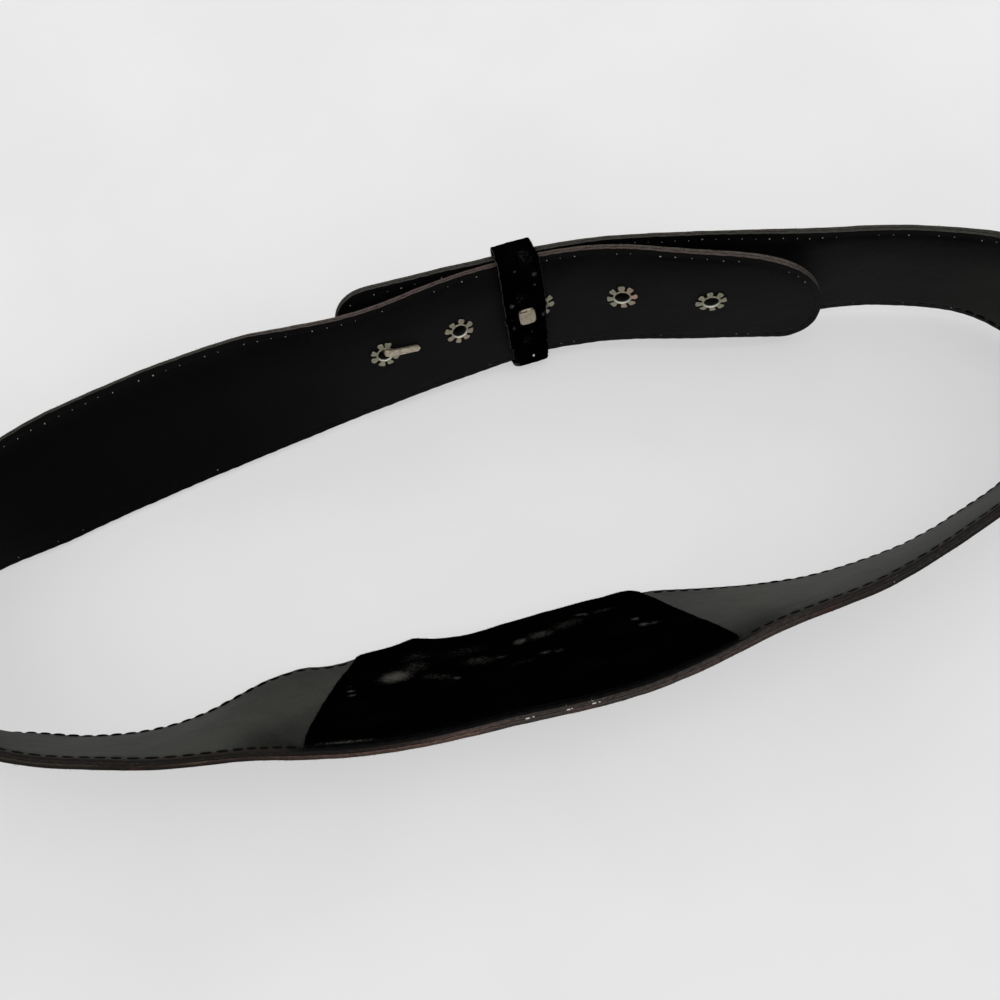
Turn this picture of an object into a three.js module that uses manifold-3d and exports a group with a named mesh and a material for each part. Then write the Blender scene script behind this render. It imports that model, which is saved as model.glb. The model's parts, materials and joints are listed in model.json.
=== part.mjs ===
// A suede belt, fastened and standing on its lower edge in a closed loop.
// Millimetres, +Z up. The origin is the middle of the belt's box, on the surface it stands on.
// The strap starts at its eyelet end on the far side, runs round the left turn, along the near
// side and the right turn, and ends at its hook end behind its own start.

import * as THREE from 'three';
import { mergeVertices } from 'three/addons/utils/BufferGeometryUtils.js';
import Module from 'manifold-3d';

const wasm = await Module();
wasm.setup();

// Driving dimensions of the strap.
const STRAP_WIDTH = 45;
const LINING_THICKNESS = 1.2;
const LAYER_GAP = 0.3;
const SUEDE_THICKNESS = 1.5;
const SUEDE_FACE = LINING_THICKNESS + LAYER_GAP;
const STRAP_THICKNESS = SUEDE_FACE + SUEDE_THICKNESS;
const PIECE_GAP = 0.3;

// Sections of the strap at even steps along the lower edge of its inner face: where that edge
// stands in plan, how high it is above the surface, and how far the strap leans outwards in degrees.
const SECTIONS = [
  { x: 98.6, y: 67.2, rise: 5.1, lean: 6.7 },
  { x: 60.5, y: 65.2, rise: 7.2, lean: 5.6 },
  { x: 22.8, y: 64.3, rise: 5.7, lean: 11.7 },
  { x: -13.0, y: 54.2, rise: 5.0, lean: 16.0 },
  { x: -48.1, y: 40.8, rise: 3.5, lean: 15.7 },
  { x: -82.1, y: 26.3, rise: 2.0, lean: 28.0 },
  { x: -115.6, y: 11.0, rise: 1.6, lean: 31.5 },
  { x: -148.7, y: -5.7, rise: 1.7, lean: 26.1 },
  { x: -180.1, y: -24.2, rise: 2.6, lean: 1.7 },
  { x: -183.7, y: -59.1, rise: 5.2, lean: -8.5 },
  { x: -149.8, y: -68.8, rise: 2.5, lean: 9.4 },
  { x: -113.6, y: -66.5, rise: 1.0, lean: 18.4 },
  { x: -80.4, y: -52.3, rise: 3.2, lean: 35.8 },
  { x: -45.1, y: -43.1, rise: 5.2, lean: 47.3 },
  { x: -9.5, y: -35.6, rise: 4.1, lean: 46.8 },
  { x: 25.8, y: -25.8, rise: 5.8, lean: 49.2 },
  { x: 62.3, y: -22.1, rise: 2.4, lean: 29.3 },
  { x: 98.7, y: -16.1, rise: 1.0, lean: 17.5 },
  { x: 133.1, y: -2.0, rise: 0.9, lean: 9.1 },
  { x: 164.3, y: 18.3, rise: 1.2, lean: 5.8 },
  { x: 184.9, y: 47.8, rise: 2.0, lean: 1.6 },
  { x: 161.3, y: 74.2, rise: 3.4, lean: -0.7 },
  { x: 124.9, y: 79.9, rise: 4.3, lean: -0.2 },
  { x: 87.8, y: 76.2, rise: 3.4, lean: 4.4 },
  { x: 50.7, y: 72.2, rise: 2.8, lean: 9.9 },
  { x: 13.9, y: 67.1, rise: 2.7, lean: 13.1 },
  { x: -21.9, y: 55.2, rise: 2.8, lean: 16.5 },
  { x: -57.3, y: 42.8, rise: 2.6, lean: 21.0 },
];

// Rounded corners of the two ends: half axes of each corner's ellipse along and across the strap.
const TIP_LOWER_CORNER = { along: 10, across: 11.6 };
const TIP_UPPER_CORNER = { along: 44, across: STRAP_WIDTH - 11.6 };
const HOOK_END_CORNER = { along: 12, across: 12 };
const TIP_START = 0.05;
const HOOK_END = 999;
const STATION_STEP = 6;
const CORNER_STEPS = 9;
const STRIPS_ACROSS = 2;
const BOX_INNER_FACE = 5;

// Suede patch on the lining of the near side. Each end leans in towards the lower edge.
const PATCH = {
  thickness: 1.3,
  gap: 0.4,
  left: 457.3,
  right: 581.8,
  top: 42.4,
  bottom: 0.2,
  cornerHeight: 1,
  leftSlant: { reach: 14.2, bow: 1.35 },
  rightSlant: { reach: 17.6, bow: 1.5 },
  slantSteps: 7,
};

// Eyelets on the eyelet end, each pressed in from the suede side and splayed on the lining.
const EYELETS = [
  { name: 'eyelet_1', along: 38.2, height: 21.9, turn: 2 },
  { name: 'eyelet_2', along: 65.9, height: 23.0, turn: 6 },
  { name: 'eyelet_3', along: 92.5, height: 24.5, turn: 12 },
  { name: 'eyelet_4', along: 119.7, height: 22.9, turn: 14 },
  { name: 'eyelet_5', along: 144.8, height: 25.0, turn: 10 },
];
const EYELET = {
  boreRadius: 2.45,
  barrelRadius: 2.75,
  flangeRadius: 5,
  flangeThickness: 0.5,
  rollRadius: 3.3,
  petalReach: 5.4,
  petalThickness: 0.3,
  petalRootWidth: 1.6,
  petalTipWidth: 2.2,
  petalCorner: 0.5,
  petals: 8,
  sides: 24,
};

// Hook on the lining of the hook end: a plate, a neck through the last eyelet and a prong.
const HOOK = {
  thickness: 0.9,
  width: 2.6,
  endRadius: 1.27,
  prongLength: 12.6,
  prongSlope: 13,
  neckShift: 0.35,
  neckLift: 0.75,
  plateLength: 13,
  plateWidth: 9,
  plateCorner: 2,
  plateThickness: 0.8,
  plateGap: 0.35,
};

// Keeper: a suede strip bent round both bands, its ends lapped on the inner side.
const KEEPER = {
  along: 98.3,
  width: 12.4,
  thickness: 1.2,
  innerClearance: 1.2,
  outerClearance: 0.5,
  headroom: 1.3,
  footroom: 0.4,
  restLength: 7,
  cornerRadius: 2.2,
  skew: 0.045,
  lapStart: 15,
  lapStep: 8.5,
  lapRise: 4,
  lapEnd: 24.6,
  cornerPoints: 5,
};

// Staple that closes the keeper across the end of its lap.
const STAPLE = {
  width: 5.4,
  length: 8.6,
  thickness: 0.7,
  legThickness: 0.7,
  legDepth: 0.9,
  middle: 24.8,
};

const MATERIALS = {
  suede: { color: 0x1b1a1b, roughness: 0.96, metalness: 0 },
  lining: { color: 0x2b2d2c, roughness: 0.55, metalness: 0 },
  patch: { color: 0x0d0c0d, roughness: 0.97, metalness: 0 },
  eyelet: { color: 0x86836a, roughness: 0.45, metalness: 1 },
  hook: { color: 0xa59a83, roughness: 0.4, metalness: 1 },
  staple: { color: 0xb0a795, roughness: 0.4, metalness: 1 },
};

const UP = new THREE.Vector3(0, 0, 1);

const footLine = new THREE.CatmullRomCurve3(
  SECTIONS.map(({ x, y, rise }) => new THREE.Vector3(x, y, rise)), false, 'catmullrom', 0.5);
const leanLine = new THREE.CatmullRomCurve3(
  SECTIONS.map(({ lean }) => new THREE.Vector3(lean, 0, 0)), false, 'catmullrom', 0.5);
footLine.arcLengthDivisions = 50 * (SECTIONS.length - 1);
const FOOT_LENGTH = footLine.getLength();

// Foot point and directions of the strap at a distance along it: forward along the strap, across
// from its lower to its upper edge, and facing outwards from the lining to the suede.
function strapFrame(along) {
  const t = footLine.getUtoTmapping(along / FOOT_LENGTH);
  const foot = footLine.getPoint(t);
  const forward = footLine.getTangent(t);
  const outward = new THREE.Vector3().crossVectors(forward, UP).normalize();
  const upright = new THREE.Vector3().crossVectors(outward, forward);
  const lean = THREE.MathUtils.degToRad(leanLine.getPoint(t).x);
  const across = upright.clone().multiplyScalar(Math.cos(lean)).addScaledVector(outward, Math.sin(lean));
  const facing = outward.clone().multiplyScalar(Math.cos(lean)).addScaledVector(upright, -Math.sin(lean));
  return { foot, forward, across, facing };
}

function framePoint(frame, height, depth) {
  return frame.foot.clone().addScaledVector(frame.across, height).addScaledVector(frame.facing, depth);
}

// The strap's frame turned to lie flat on the strap at one height, where the strap twists.
function surfaceFrame(along, height) {
  const { foot, across } = strapFrame(along);
  const reach = 1;
  const ahead = framePoint(strapFrame(along + reach), height, 0);
  const behind = framePoint(strapFrame(along - reach), height, 0);
  const facing = ahead.sub(behind).cross(across).normalize();
  const forward = new THREE.Vector3().crossVectors(across, facing);
  return { foot, forward, across, facing };
}

// How far a rounded corner cuts into the strap's width, at a distance from the strap's end.
function cornerCut(distance, corner) {
  if (distance >= corner.along) return 0;
  const inset = 1 - distance / corner.along;
  return corner.across * (1 - Math.sqrt(1 - inset * inset));
}

function strapLow(along) {
  return Math.max(cornerCut(along, TIP_LOWER_CORNER), cornerCut(HOOK_END - along, HOOK_END_CORNER));
}

function strapHigh(along) {
  const tipCut = cornerCut(along, TIP_UPPER_CORNER);
  return STRAP_WIDTH - Math.max(tipCut, cornerCut(HOOK_END - along, HOOK_END_CORNER));
}

// Distances at which the strap's layers have a section: close together round the ends.
function strapStations() {
  const stations = [];
  for (let step = 0; step < CORNER_STEPS; step += 1) {
    const angle = (step / CORNER_STEPS) * (Math.PI / 2);
    stations.push(TIP_START + TIP_UPPER_CORNER.along * (1 - Math.cos(angle)));
  }
  const from = TIP_UPPER_CORNER.along;
  const to = HOOK_END - HOOK_END_CORNER.along;
  const steps = Math.round((to - from) / STATION_STEP);
  for (let step = 0; step <= steps; step += 1) stations.push(from + ((to - from) * step) / steps);
  for (let step = 1; step <= CORNER_STEPS; step += 1) {
    const angle = (step / CORNER_STEPS) * (Math.PI / 2);
    stations.push(HOOK_END - HOOK_END_CORNER.along * (1 - Math.sin(angle)));
  }
  return stations;
}

// Splits the squares of a box's inner face along the diagonals that its outer face has, so that
// layers of the twisting strap keep an even gap.
function matchDiagonals(box) {
  const innerFace = box.groups.find(({ materialIndex }) => materialIndex === BOX_INNER_FACE);
  const corners = box.index.array;
  for (let i = innerFace.start; i < innerFace.start + innerFace.count; i += 6) {
    const [a, b, d, , c] = corners.slice(i, i + 5);
    corners.set([a, b, c, a, c, d], i);
  }
}

// A flat box bent into a layer of the strap: its length follows the stations, its width runs from
// the low to the high edge, and its thickness between two depths behind the strap's inner face.
function strapLayer(stations, low, high, innerDepth, outerDepth) {
  const steps = stations.length - 1;
  const layer = new THREE.BoxGeometry(steps, 1, 1, steps, STRIPS_ACROSS, 1);
  matchDiagonals(layer);
  const frames = stations.map(strapFrame);
  const place = layer.attributes.position;
  for (let i = 0; i < place.count; i += 1) {
    const station = Math.round(place.getX(i) + steps / 2);
    const along = stations[station];
    const height = THREE.MathUtils.lerp(low(along), high(along), place.getY(i) + 0.5);
    const depth = THREE.MathUtils.lerp(innerDepth, outerDepth, place.getZ(i) + 0.5);
    const point = framePoint(frames[station], height, depth);
    place.setXYZ(i, point.x, point.y, point.z);
  }
  return layer;
}

// Welds a closed geometry's corners and hands it over as a solid for joining and cutting.
function solidOf(geometry) {
  const bare = geometry.clone();
  bare.deleteAttribute('normal');
  bare.deleteAttribute('uv');
  const welded = mergeVertices(bare, 1e-4);
  return new wasm.Manifold(new wasm.Mesh({
    numProp: 3,
    vertProperties: new Float32Array(welded.attributes.position.array),
    triVerts: new Uint32Array(welded.index.array),
  }));
}

function geometryOf(solid) {
  const { vertProperties, triVerts } = solid.getMesh();
  const geometry = new THREE.BufferGeometry();
  geometry.setAttribute('position', new THREE.BufferAttribute(vertProperties, 3));
  geometry.setIndex(new THREE.BufferAttribute(triVerts, 1));
  geometry.computeVertexNormals();
  return geometry;
}

function cutAll(solid, cutters) {
  return cutters.reduce((rest, cutter) => rest.subtract(cutter), solid);
}

function piece(name, geometry, material) {
  const mesh = new THREE.Mesh(geometry, new THREE.MeshStandardMaterial(material));
  mesh.name = name;
  return mesh;
}

// Stands a group in a strap's frame: its x forward, its y across and its z outwards.
function standIn(group, frame, height, turn) {
  const basis = new THREE.Matrix4().makeBasis(frame.forward, frame.across, frame.facing);
  group.position.copy(framePoint(frame, height, 0));
  group.quaternion.setFromRotationMatrix(basis);
  group.rotateZ(THREE.MathUtils.degToRad(turn));
  group.updateMatrixWorld(true);
  return group;
}

// Holes for the eyelets, from just inside the lining to just outside the suede of their own band.
function eyeletHoles() {
  const length = STRAP_THICKNESS + 2 * PIECE_GAP;
  return EYELETS.map(({ along, height }) => {
    const hole = new THREE.CylinderGeometry(
      EYELET.barrelRadius + PIECE_GAP, EYELET.barrelRadius + PIECE_GAP, length, EYELET.sides);
    hole.rotateX(Math.PI / 2);
    hole.translate(0, 0, STRAP_THICKNESS / 2);
    const stand = standIn(new THREE.Group(), surfaceFrame(along, height), height, 0);
    return solidOf(hole.applyMatrix4(stand.matrixWorld));
  });
}

function buildStrap() {
  const strap = new THREE.Group();
  const stations = strapStations();
  const holes = eyeletHoles();
  const suede = strapLayer(stations, strapLow, strapHigh, SUEDE_FACE, STRAP_THICKNESS);
  const lining = strapLayer(stations, strapLow, strapHigh, 0, LINING_THICKNESS);
  strap.add(piece('strap_suede', geometryOf(cutAll(solidOf(suede), holes)), MATERIALS.suede));
  strap.add(piece('strap_lining', geometryOf(cutAll(solidOf(lining), holes)), MATERIALS.lining));
  strap.add(piece('back_patch', buildPatch(), MATERIALS.patch));
  return strap;
}

// Lower boundary of the patch: its slanted, slightly bowed ends come down from the upper edge.
function patchLow(along) {
  const fromLeft = (along - PATCH.left) / PATCH.leftSlant.reach;
  const fromRight = (PATCH.right - along) / PATCH.rightSlant.reach;
  const leftRise = 1 - Math.min(fromLeft, 1) ** (1 / PATCH.leftSlant.bow);
  const rightRise = 1 - Math.min(fromRight, 1) ** (1 / PATCH.rightSlant.bow);
  const drop = PATCH.top - PATCH.cornerHeight - PATCH.bottom;
  return PATCH.bottom + drop * Math.max(leftRise, rightRise);
}

function buildPatch() {
  const stations = [];
  const { left, right, leftSlant, rightSlant, slantSteps } = PATCH;
  for (let step = 0; step < slantSteps; step += 1) {
    stations.push(left + leftSlant.reach * (step / slantSteps) ** leftSlant.bow);
  }
  const from = left + leftSlant.reach;
  const to = right - rightSlant.reach;
  const steps = Math.round((to - from) / STATION_STEP);
  for (let step = 0; step <= steps; step += 1) stations.push(from + ((to - from) * step) / steps);
  for (let step = slantSteps - 1; step >= 0; step -= 1) {
    stations.push(right - rightSlant.reach * (step / slantSteps) ** rightSlant.bow);
  }
  return strapLayer(stations, patchLow, () => PATCH.top, -PATCH.gap - PATCH.thickness, -PATCH.gap);
}

// One splayed petal: a tab that widens from the rolled lip to its rounded end.
function petalShape() {
  const root = EYELET.petalRootWidth / 2;
  const tip = EYELET.petalTipWidth / 2;
  const reach = EYELET.petalReach;
  const corner = EYELET.petalCorner;
  const shape = new THREE.Shape();
  shape.moveTo(EYELET.barrelRadius, -root);
  shape.lineTo(reach - corner, -tip);
  shape.lineTo(reach, -tip + corner);
  shape.lineTo(reach, tip - corner);
  shape.lineTo(reach - corner, tip);
  shape.lineTo(EYELET.barrelRadius, root);
  shape.closePath();
  return shape;
}

// Barrel with its flange on the suede side, and the lip with the petals on the lining side.
function eyeletGeometry() {
  const { boreRadius, barrelRadius, flangeRadius, flangeThickness, rollRadius, petalThickness } = EYELET;
  const petalOuter = -PIECE_GAP;
  const petalInner = petalOuter - petalThickness;
  const flangeInner = STRAP_THICKNESS + PIECE_GAP;
  const flangeOuter = flangeInner + flangeThickness;
  const profile = [
    [rollRadius, petalInner],
    [rollRadius, petalOuter],
    [barrelRadius, petalOuter],
    [barrelRadius, flangeInner],
    [flangeRadius, flangeInner],
    [flangeRadius, flangeOuter],
    [boreRadius, flangeOuter],
    [boreRadius, petalInner],
    [rollRadius, petalInner],
  ].map(([radius, depth]) => new THREE.Vector2(radius, depth));
  const barrel = new THREE.LatheGeometry(profile, EYELET.sides);
  barrel.rotateX(Math.PI / 2);
  let eyelet = solidOf(barrel);
  for (let k = 0; k < EYELET.petals; k += 1) {
    const petal = new THREE.ExtrudeGeometry(petalShape(), { depth: petalThickness, bevelEnabled: false });
    petal.translate(0, 0, petalInner);
    petal.rotateZ((k * 2 * Math.PI) / EYELET.petals);
    eyelet = eyelet.add(solidOf(petal));
  }
  return geometryOf(eyelet);
}

function buildEyelets() {
  const eyelets = new THREE.Group();
  for (const { name, along, height, turn } of EYELETS) {
    const eyelet = piece(name, eyeletGeometry(), MATERIALS.eyelet);
    eyelets.add(standIn(eyelet, surfaceFrame(along, height), height, turn));
  }
  return eyelets;
}

// The place on the hook end's band that lies straight outwards from a point of the inner band.
function bandBehind(frame, height) {
  const point = framePoint(frame, height, 0);
  const searchLength = 130;
  const searchStep = 0.25;
  let best = { miss: Infinity };
  for (let along = HOOK_END - searchLength; along < HOOK_END; along += searchStep) {
    const band = surfaceFrame(along, height);
    const miss = Math.abs(framePoint(band, height, 0).sub(point).dot(frame.forward));
    if (miss < best.miss) best = { miss, along, band };
  }
  return best.band;
}

// Distance outwards from a point on one frame to the inner face of the band behind it.
function depthOfBand(frame, height, band) {
  const point = framePoint(frame, height, 0);
  return framePoint(band, height, 0).sub(point).dot(band.facing) / frame.facing.dot(band.facing);
}

// Height on a band of the point straight outwards from a point of another frame.
function heightOnBand(frame, height, band, depth) {
  const point = framePoint(frame, height, depth);
  return point.sub(band.foot).dot(band.across);
}

function roundedBar(length, width, corner) {
  const shape = new THREE.Shape();
  const half = width / 2;
  shape.moveTo(corner, -half);
  shape.lineTo(length - corner, -half);
  shape.absarc(length - corner, -half + corner, corner, -Math.PI / 2, 0, false);
  shape.lineTo(length, half - corner);
  shape.absarc(length - corner, half - corner, corner, 0, Math.PI / 2, false);
  shape.lineTo(corner, half);
  shape.absarc(corner, half - corner, corner, Math.PI / 2, Math.PI, false);
  shape.lineTo(0, -half + corner);
  shape.absarc(corner, -half + corner, corner, Math.PI, 1.5 * Math.PI, false);
  return shape;
}

// The hook is one strip: its prong lies on the last eyelet's petals and points to the eyelet end,
// its neck goes through the eyelet, and its plate lies on the lining of the band behind.
function buildHook() {
  const eyelet = EYELETS[EYELETS.length - 1];
  const height = eyelet.height + HOOK.neckLift;
  const frame = surfaceFrame(eyelet.along, height);
  const band = bandBehind(frame, height);
  const bandDepth = depthOfBand(frame, height, band);
  const hook = standIn(new THREE.Group(), frame, height, 180 + HOOK.prongSlope);

  const prongOuter = -2 * PIECE_GAP - EYELET.petalThickness;
  const prong = new THREE.ExtrudeGeometry(
    roundedBar(HOOK.prongLength, HOOK.width, HOOK.endRadius),
    { depth: HOOK.thickness, bevelEnabled: false, curveSegments: 5 });
  const prongStart = HOOK.neckShift - HOOK.thickness / 2 - HOOK.endRadius;
  prong.translate(prongStart, 0, prongOuter - HOOK.thickness);
  const behindBend = new THREE.BoxGeometry(2 * HOOK.endRadius, 2 * HOOK.width, 4 * HOOK.thickness);
  behindBend.translate(prongStart, 0, prongOuter);

  const neckTop = bandDepth - HOOK.plateGap - HOOK.plateThickness / 2;
  const neckBottom = prongOuter - HOOK.thickness / 2;
  const neck = new THREE.BoxGeometry(HOOK.thickness, HOOK.width, neckTop - neckBottom);
  neck.translate(HOOK.neckShift, 0, (neckTop + neckBottom) / 2);

  const plateHeight = heightOnBand(frame, height, band, bandDepth);
  const plate = new THREE.ExtrudeGeometry(
    roundedBar(HOOK.plateLength, HOOK.plateWidth, HOOK.plateCorner),
    { depth: HOOK.plateThickness, bevelEnabled: false, curveSegments: 4 });
  plate.translate(-HOOK.plateLength / 2, 0, -HOOK.plateGap - HOOK.plateThickness);
  const plateStand = standIn(new THREE.Group(), band, plateHeight, 0);
  const toHook = hook.matrixWorld.clone().invert().multiply(plateStand.matrixWorld);

  const strip = solidOf(prong).subtract(solidOf(behindBend)).add(solidOf(neck));
  hook.add(piece('hook', geometryOf(strip.add(solidOf(plate.applyMatrix4(toHook)))), MATERIALS.hook));
  return hook;
}

// A line through corners, each rounded off over the given radius, as evenly placed points.
function roundedLine(corners, radius) {
  const line = new THREE.Path();
  line.moveTo(corners[0].x, corners[0].y);
  for (let i = 1; i < corners.length - 1; i += 1) {
    const corner = corners[i];
    const back = corners[i - 1].clone().sub(corner);
    const ahead = corners[i + 1].clone().sub(corner);
    const reach = Math.min(radius, back.length() / 2, ahead.length() / 2);
    const enter = corner.clone().addScaledVector(back.normalize(), reach);
    const leave = corner.clone().addScaledVector(ahead.normalize(), reach);
    line.lineTo(enter.x, enter.y);
    line.quadraticCurveTo(corner.x, corner.y, leave.x, leave.y);
  }
  const last = corners[corners.length - 1];
  line.lineTo(last.x, last.y);
  return line.getPoints(KEEPER.cornerPoints);
}

// The outline of a strip of even thickness that follows a line of points.
function stripShape(points, thickness) {
  const left = [];
  const right = [];
  points.forEach((point, i) => {
    const before = points[Math.max(i - 1, 0)];
    const after = points[Math.min(i + 1, points.length - 1)];
    const heading = after.clone().sub(before).normalize();
    const side = new THREE.Vector2(-heading.y, heading.x).multiplyScalar(thickness / 2);
    left.push(point.clone().add(side));
    right.push(point.clone().sub(side));
  });
  return new THREE.Shape([...right, ...left.reverse()]);
}

// Plan of the keeper in the upright plane across the belt: x outwards and y up, measured from
// below the lower edge of the inner band's face.
function keeperPlan() {
  const frame = strapFrame(KEEPER.along);
  const outward = new THREE.Vector3().crossVectors(frame.forward, UP).normalize();
  const ahead = new THREE.Vector3().crossVectors(UP, outward);
  const origin = frame.foot.clone().setZ(0);
  const flat = (point) => {
    const offset = point.sub(origin);
    return new THREE.Vector2(offset.dot(outward), offset.z);
  };
  const band = bandBehind(frame, STRAP_WIDTH / 2);
  const innerFoot = flat(framePoint(frame, 0, 0));
  const innerTop = flat(framePoint(frame, STRAP_WIDTH, 0));
  const outerTop = flat(framePoint(band, STRAP_WIDTH, STRAP_THICKNESS));
  const outerFoot = flat(framePoint(band, 0, STRAP_THICKNESS));
  const half = KEEPER.thickness / 2;
  const rise = innerTop.clone().sub(innerFoot).normalize();
  const inward = new THREE.Vector2(-rise.y, rise.x);
  const wallFoot = innerFoot.clone().addScaledVector(inward, KEEPER.innerClearance + half);
  const wallAt = (height) => wallFoot.clone().addScaledVector(rise, height);
  const lapAt = (height) => wallAt(height).addScaledVector(inward, KEEPER.thickness + PIECE_GAP);
  const top = wallAt(STRAP_WIDTH + KEEPER.headroom + half);
  const outerRise = outerTop.clone().sub(outerFoot).normalize();
  const outerSide = new THREE.Vector2(outerRise.y, -outerRise.x);
  const outerWall = outerFoot.clone().addScaledVector(outerSide, KEEPER.outerClearance + half);
  const outerLength = outerTop.distanceTo(outerFoot) + KEEPER.headroom + half;
  const outerRest = outerWall.clone().addScaledVector(outerRise, (half - outerWall.y) / outerRise.y);
  const line = [
    wallAt(KEEPER.lapStart),
    top,
    outerWall.clone().addScaledVector(outerRise, outerLength),
    outerRest,
    new THREE.Vector2(outerRest.x - KEEPER.restLength, half),
    wallAt(-KEEPER.footroom - half),
    wallAt(KEEPER.lapStep),
    lapAt(KEEPER.lapStep + KEEPER.lapRise),
    lapAt(KEEPER.lapEnd),
  ];
  return { origin, outward, ahead, line, inward, lapAt };
}

function standKeeper(group, plan) {
  const basis = new THREE.Matrix4().makeBasis(plan.outward, UP, plan.ahead.clone().negate());
  group.position.copy(plan.origin);
  group.quaternion.setFromRotationMatrix(basis);
  return group;
}

// A shape of the keeper's plan, made as wide as given and skewed along the belt as it rises.
function acrossKeeper(shape, width) {
  const body = new THREE.ExtrudeGeometry(shape, { depth: width, bevelEnabled: false });
  body.translate(0, -STRAP_WIDTH / 2, -width / 2);
  body.applyMatrix4(new THREE.Matrix4().makeShear(0, 0, 0, -KEEPER.skew, 0, 0));
  body.translate(0, STRAP_WIDTH / 2, 0);
  return body;
}

// The staple's outline in the keeper's plan, grown by a margin where it cuts its slots.
function stapleShapes(plan, margin) {
  const surface = KEEPER.thickness / 2;
  const half = STAPLE.length / 2;
  const at = (height, depth) => plan.lapAt(STAPLE.middle + height)
    .addScaledVector(plan.inward, surface - depth);
  const outline = (bottom, top, near, far) => new THREE.Shape([
    at(bottom, far), at(bottom, near), at(top, near), at(top, far),
  ]);
  const leg = STAPLE.legThickness;
  const lap = KEEPER.thickness + PIECE_GAP;
  const crownFar = -PIECE_GAP;
  const crownNear = crownFar - STAPLE.thickness;
  return {
    crown: outline(-half, half, crownNear, crownFar),
    lowerLeg: outline(-half - margin, leg - half + margin, crownNear, STAPLE.legDepth + margin),
    upperLeg: outline(half - leg - margin, half + margin, crownNear, lap + STAPLE.legDepth + margin),
  };
}

function buildKeeper() {
  const plan = keeperPlan();
  const keeper = standKeeper(new THREE.Group(), plan);
  const shape = stripShape(roundedLine(plan.line, KEEPER.cornerRadius), KEEPER.thickness);
  const slots = stapleShapes(plan, PIECE_GAP);
  const slotWidth = STAPLE.width + 2 * PIECE_GAP;
  const legs = [slots.lowerLeg, slots.upperLeg].map((leg) => solidOf(acrossKeeper(leg, slotWidth)));
  const loop = cutAll(solidOf(acrossKeeper(shape, KEEPER.width)), legs);
  keeper.add(piece('keeper_loop', geometryOf(loop), MATERIALS.suede));

  const bars = Object.values(stapleShapes(plan, 0));
  const staple = bars.map((bar) => solidOf(acrossKeeper(bar, STAPLE.width)))
    .reduce((whole, bar) => whole.add(bar));
  keeper.add(piece('keeper_staple', geometryOf(staple), MATERIALS.staple));
  return keeper;
}

const belt = new THREE.Group();
belt.add(buildStrap(), buildEyelets(), buildHook(), buildKeeper());

export default belt;
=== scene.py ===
"""Looks of a fastened suede belt that stands on its lower edge in a closed loop.

Leather is cut flat in strap coordinates, in millimetres: along the strap from its eyelet end, up from
its lower edge, and outwards from the face of the lining. It is thickened, rounded off and then bent
into the loop. Everything that is made here ends in metres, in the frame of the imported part.
"""

import json
import logging
import math
import random
from dataclasses import dataclass, field
from enum import Enum
from typing import Any, Callable, Optional, Sequence, Union

import bmesh
import bpy
import numpy as np
from mathutils import Matrix, Vector
from mathutils.kdtree import KDTree

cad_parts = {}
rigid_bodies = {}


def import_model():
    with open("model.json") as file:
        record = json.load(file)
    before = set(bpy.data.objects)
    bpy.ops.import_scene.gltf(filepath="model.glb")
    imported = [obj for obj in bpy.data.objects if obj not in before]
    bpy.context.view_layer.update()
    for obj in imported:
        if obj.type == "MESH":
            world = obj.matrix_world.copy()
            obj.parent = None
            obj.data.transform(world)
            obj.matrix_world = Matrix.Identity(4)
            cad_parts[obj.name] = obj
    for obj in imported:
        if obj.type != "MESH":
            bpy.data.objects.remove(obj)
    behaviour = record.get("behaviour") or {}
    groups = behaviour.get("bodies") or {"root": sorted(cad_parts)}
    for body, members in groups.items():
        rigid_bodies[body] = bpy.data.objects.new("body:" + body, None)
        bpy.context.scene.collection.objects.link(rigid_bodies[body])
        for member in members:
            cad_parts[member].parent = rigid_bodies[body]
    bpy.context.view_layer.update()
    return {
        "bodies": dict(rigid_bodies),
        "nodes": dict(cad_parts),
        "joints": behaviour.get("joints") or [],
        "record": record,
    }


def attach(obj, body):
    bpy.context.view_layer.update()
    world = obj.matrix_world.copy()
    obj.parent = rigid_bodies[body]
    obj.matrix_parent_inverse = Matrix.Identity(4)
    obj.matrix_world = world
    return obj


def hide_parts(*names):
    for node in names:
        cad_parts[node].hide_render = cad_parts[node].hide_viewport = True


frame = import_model()

LOG = logging.getLogger("suede_belt")
MM = 0.001
UP = np.array([0.0, 0.0, 1.0])
SHARP = 50.0
PLACE_ATTRIBUTE = "leather_place"
WEAR_AND_SHADE_ATTRIBUTE = "rub"
TONE_ATTRIBUTE = "tone"

Array = np.ndarray
BMesh = bmesh.types.BMesh
Material = bpy.types.Material
Mesh = bpy.types.Mesh
Piece = bpy.types.Object
Colour = tuple[float, float, float]
Tones = tuple[tuple[float, Colour], ...]
Move = Callable[[Array], Array]


class Slot(Enum):
    """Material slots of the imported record."""

    SUEDE = "suede"
    LINING = "lining"
    PATCH = "patch"
    EYELET = "eyelet_metal"
    HOOK = "hook_metal"
    STAPLE = "staple_metal"


# Shader trees


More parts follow.
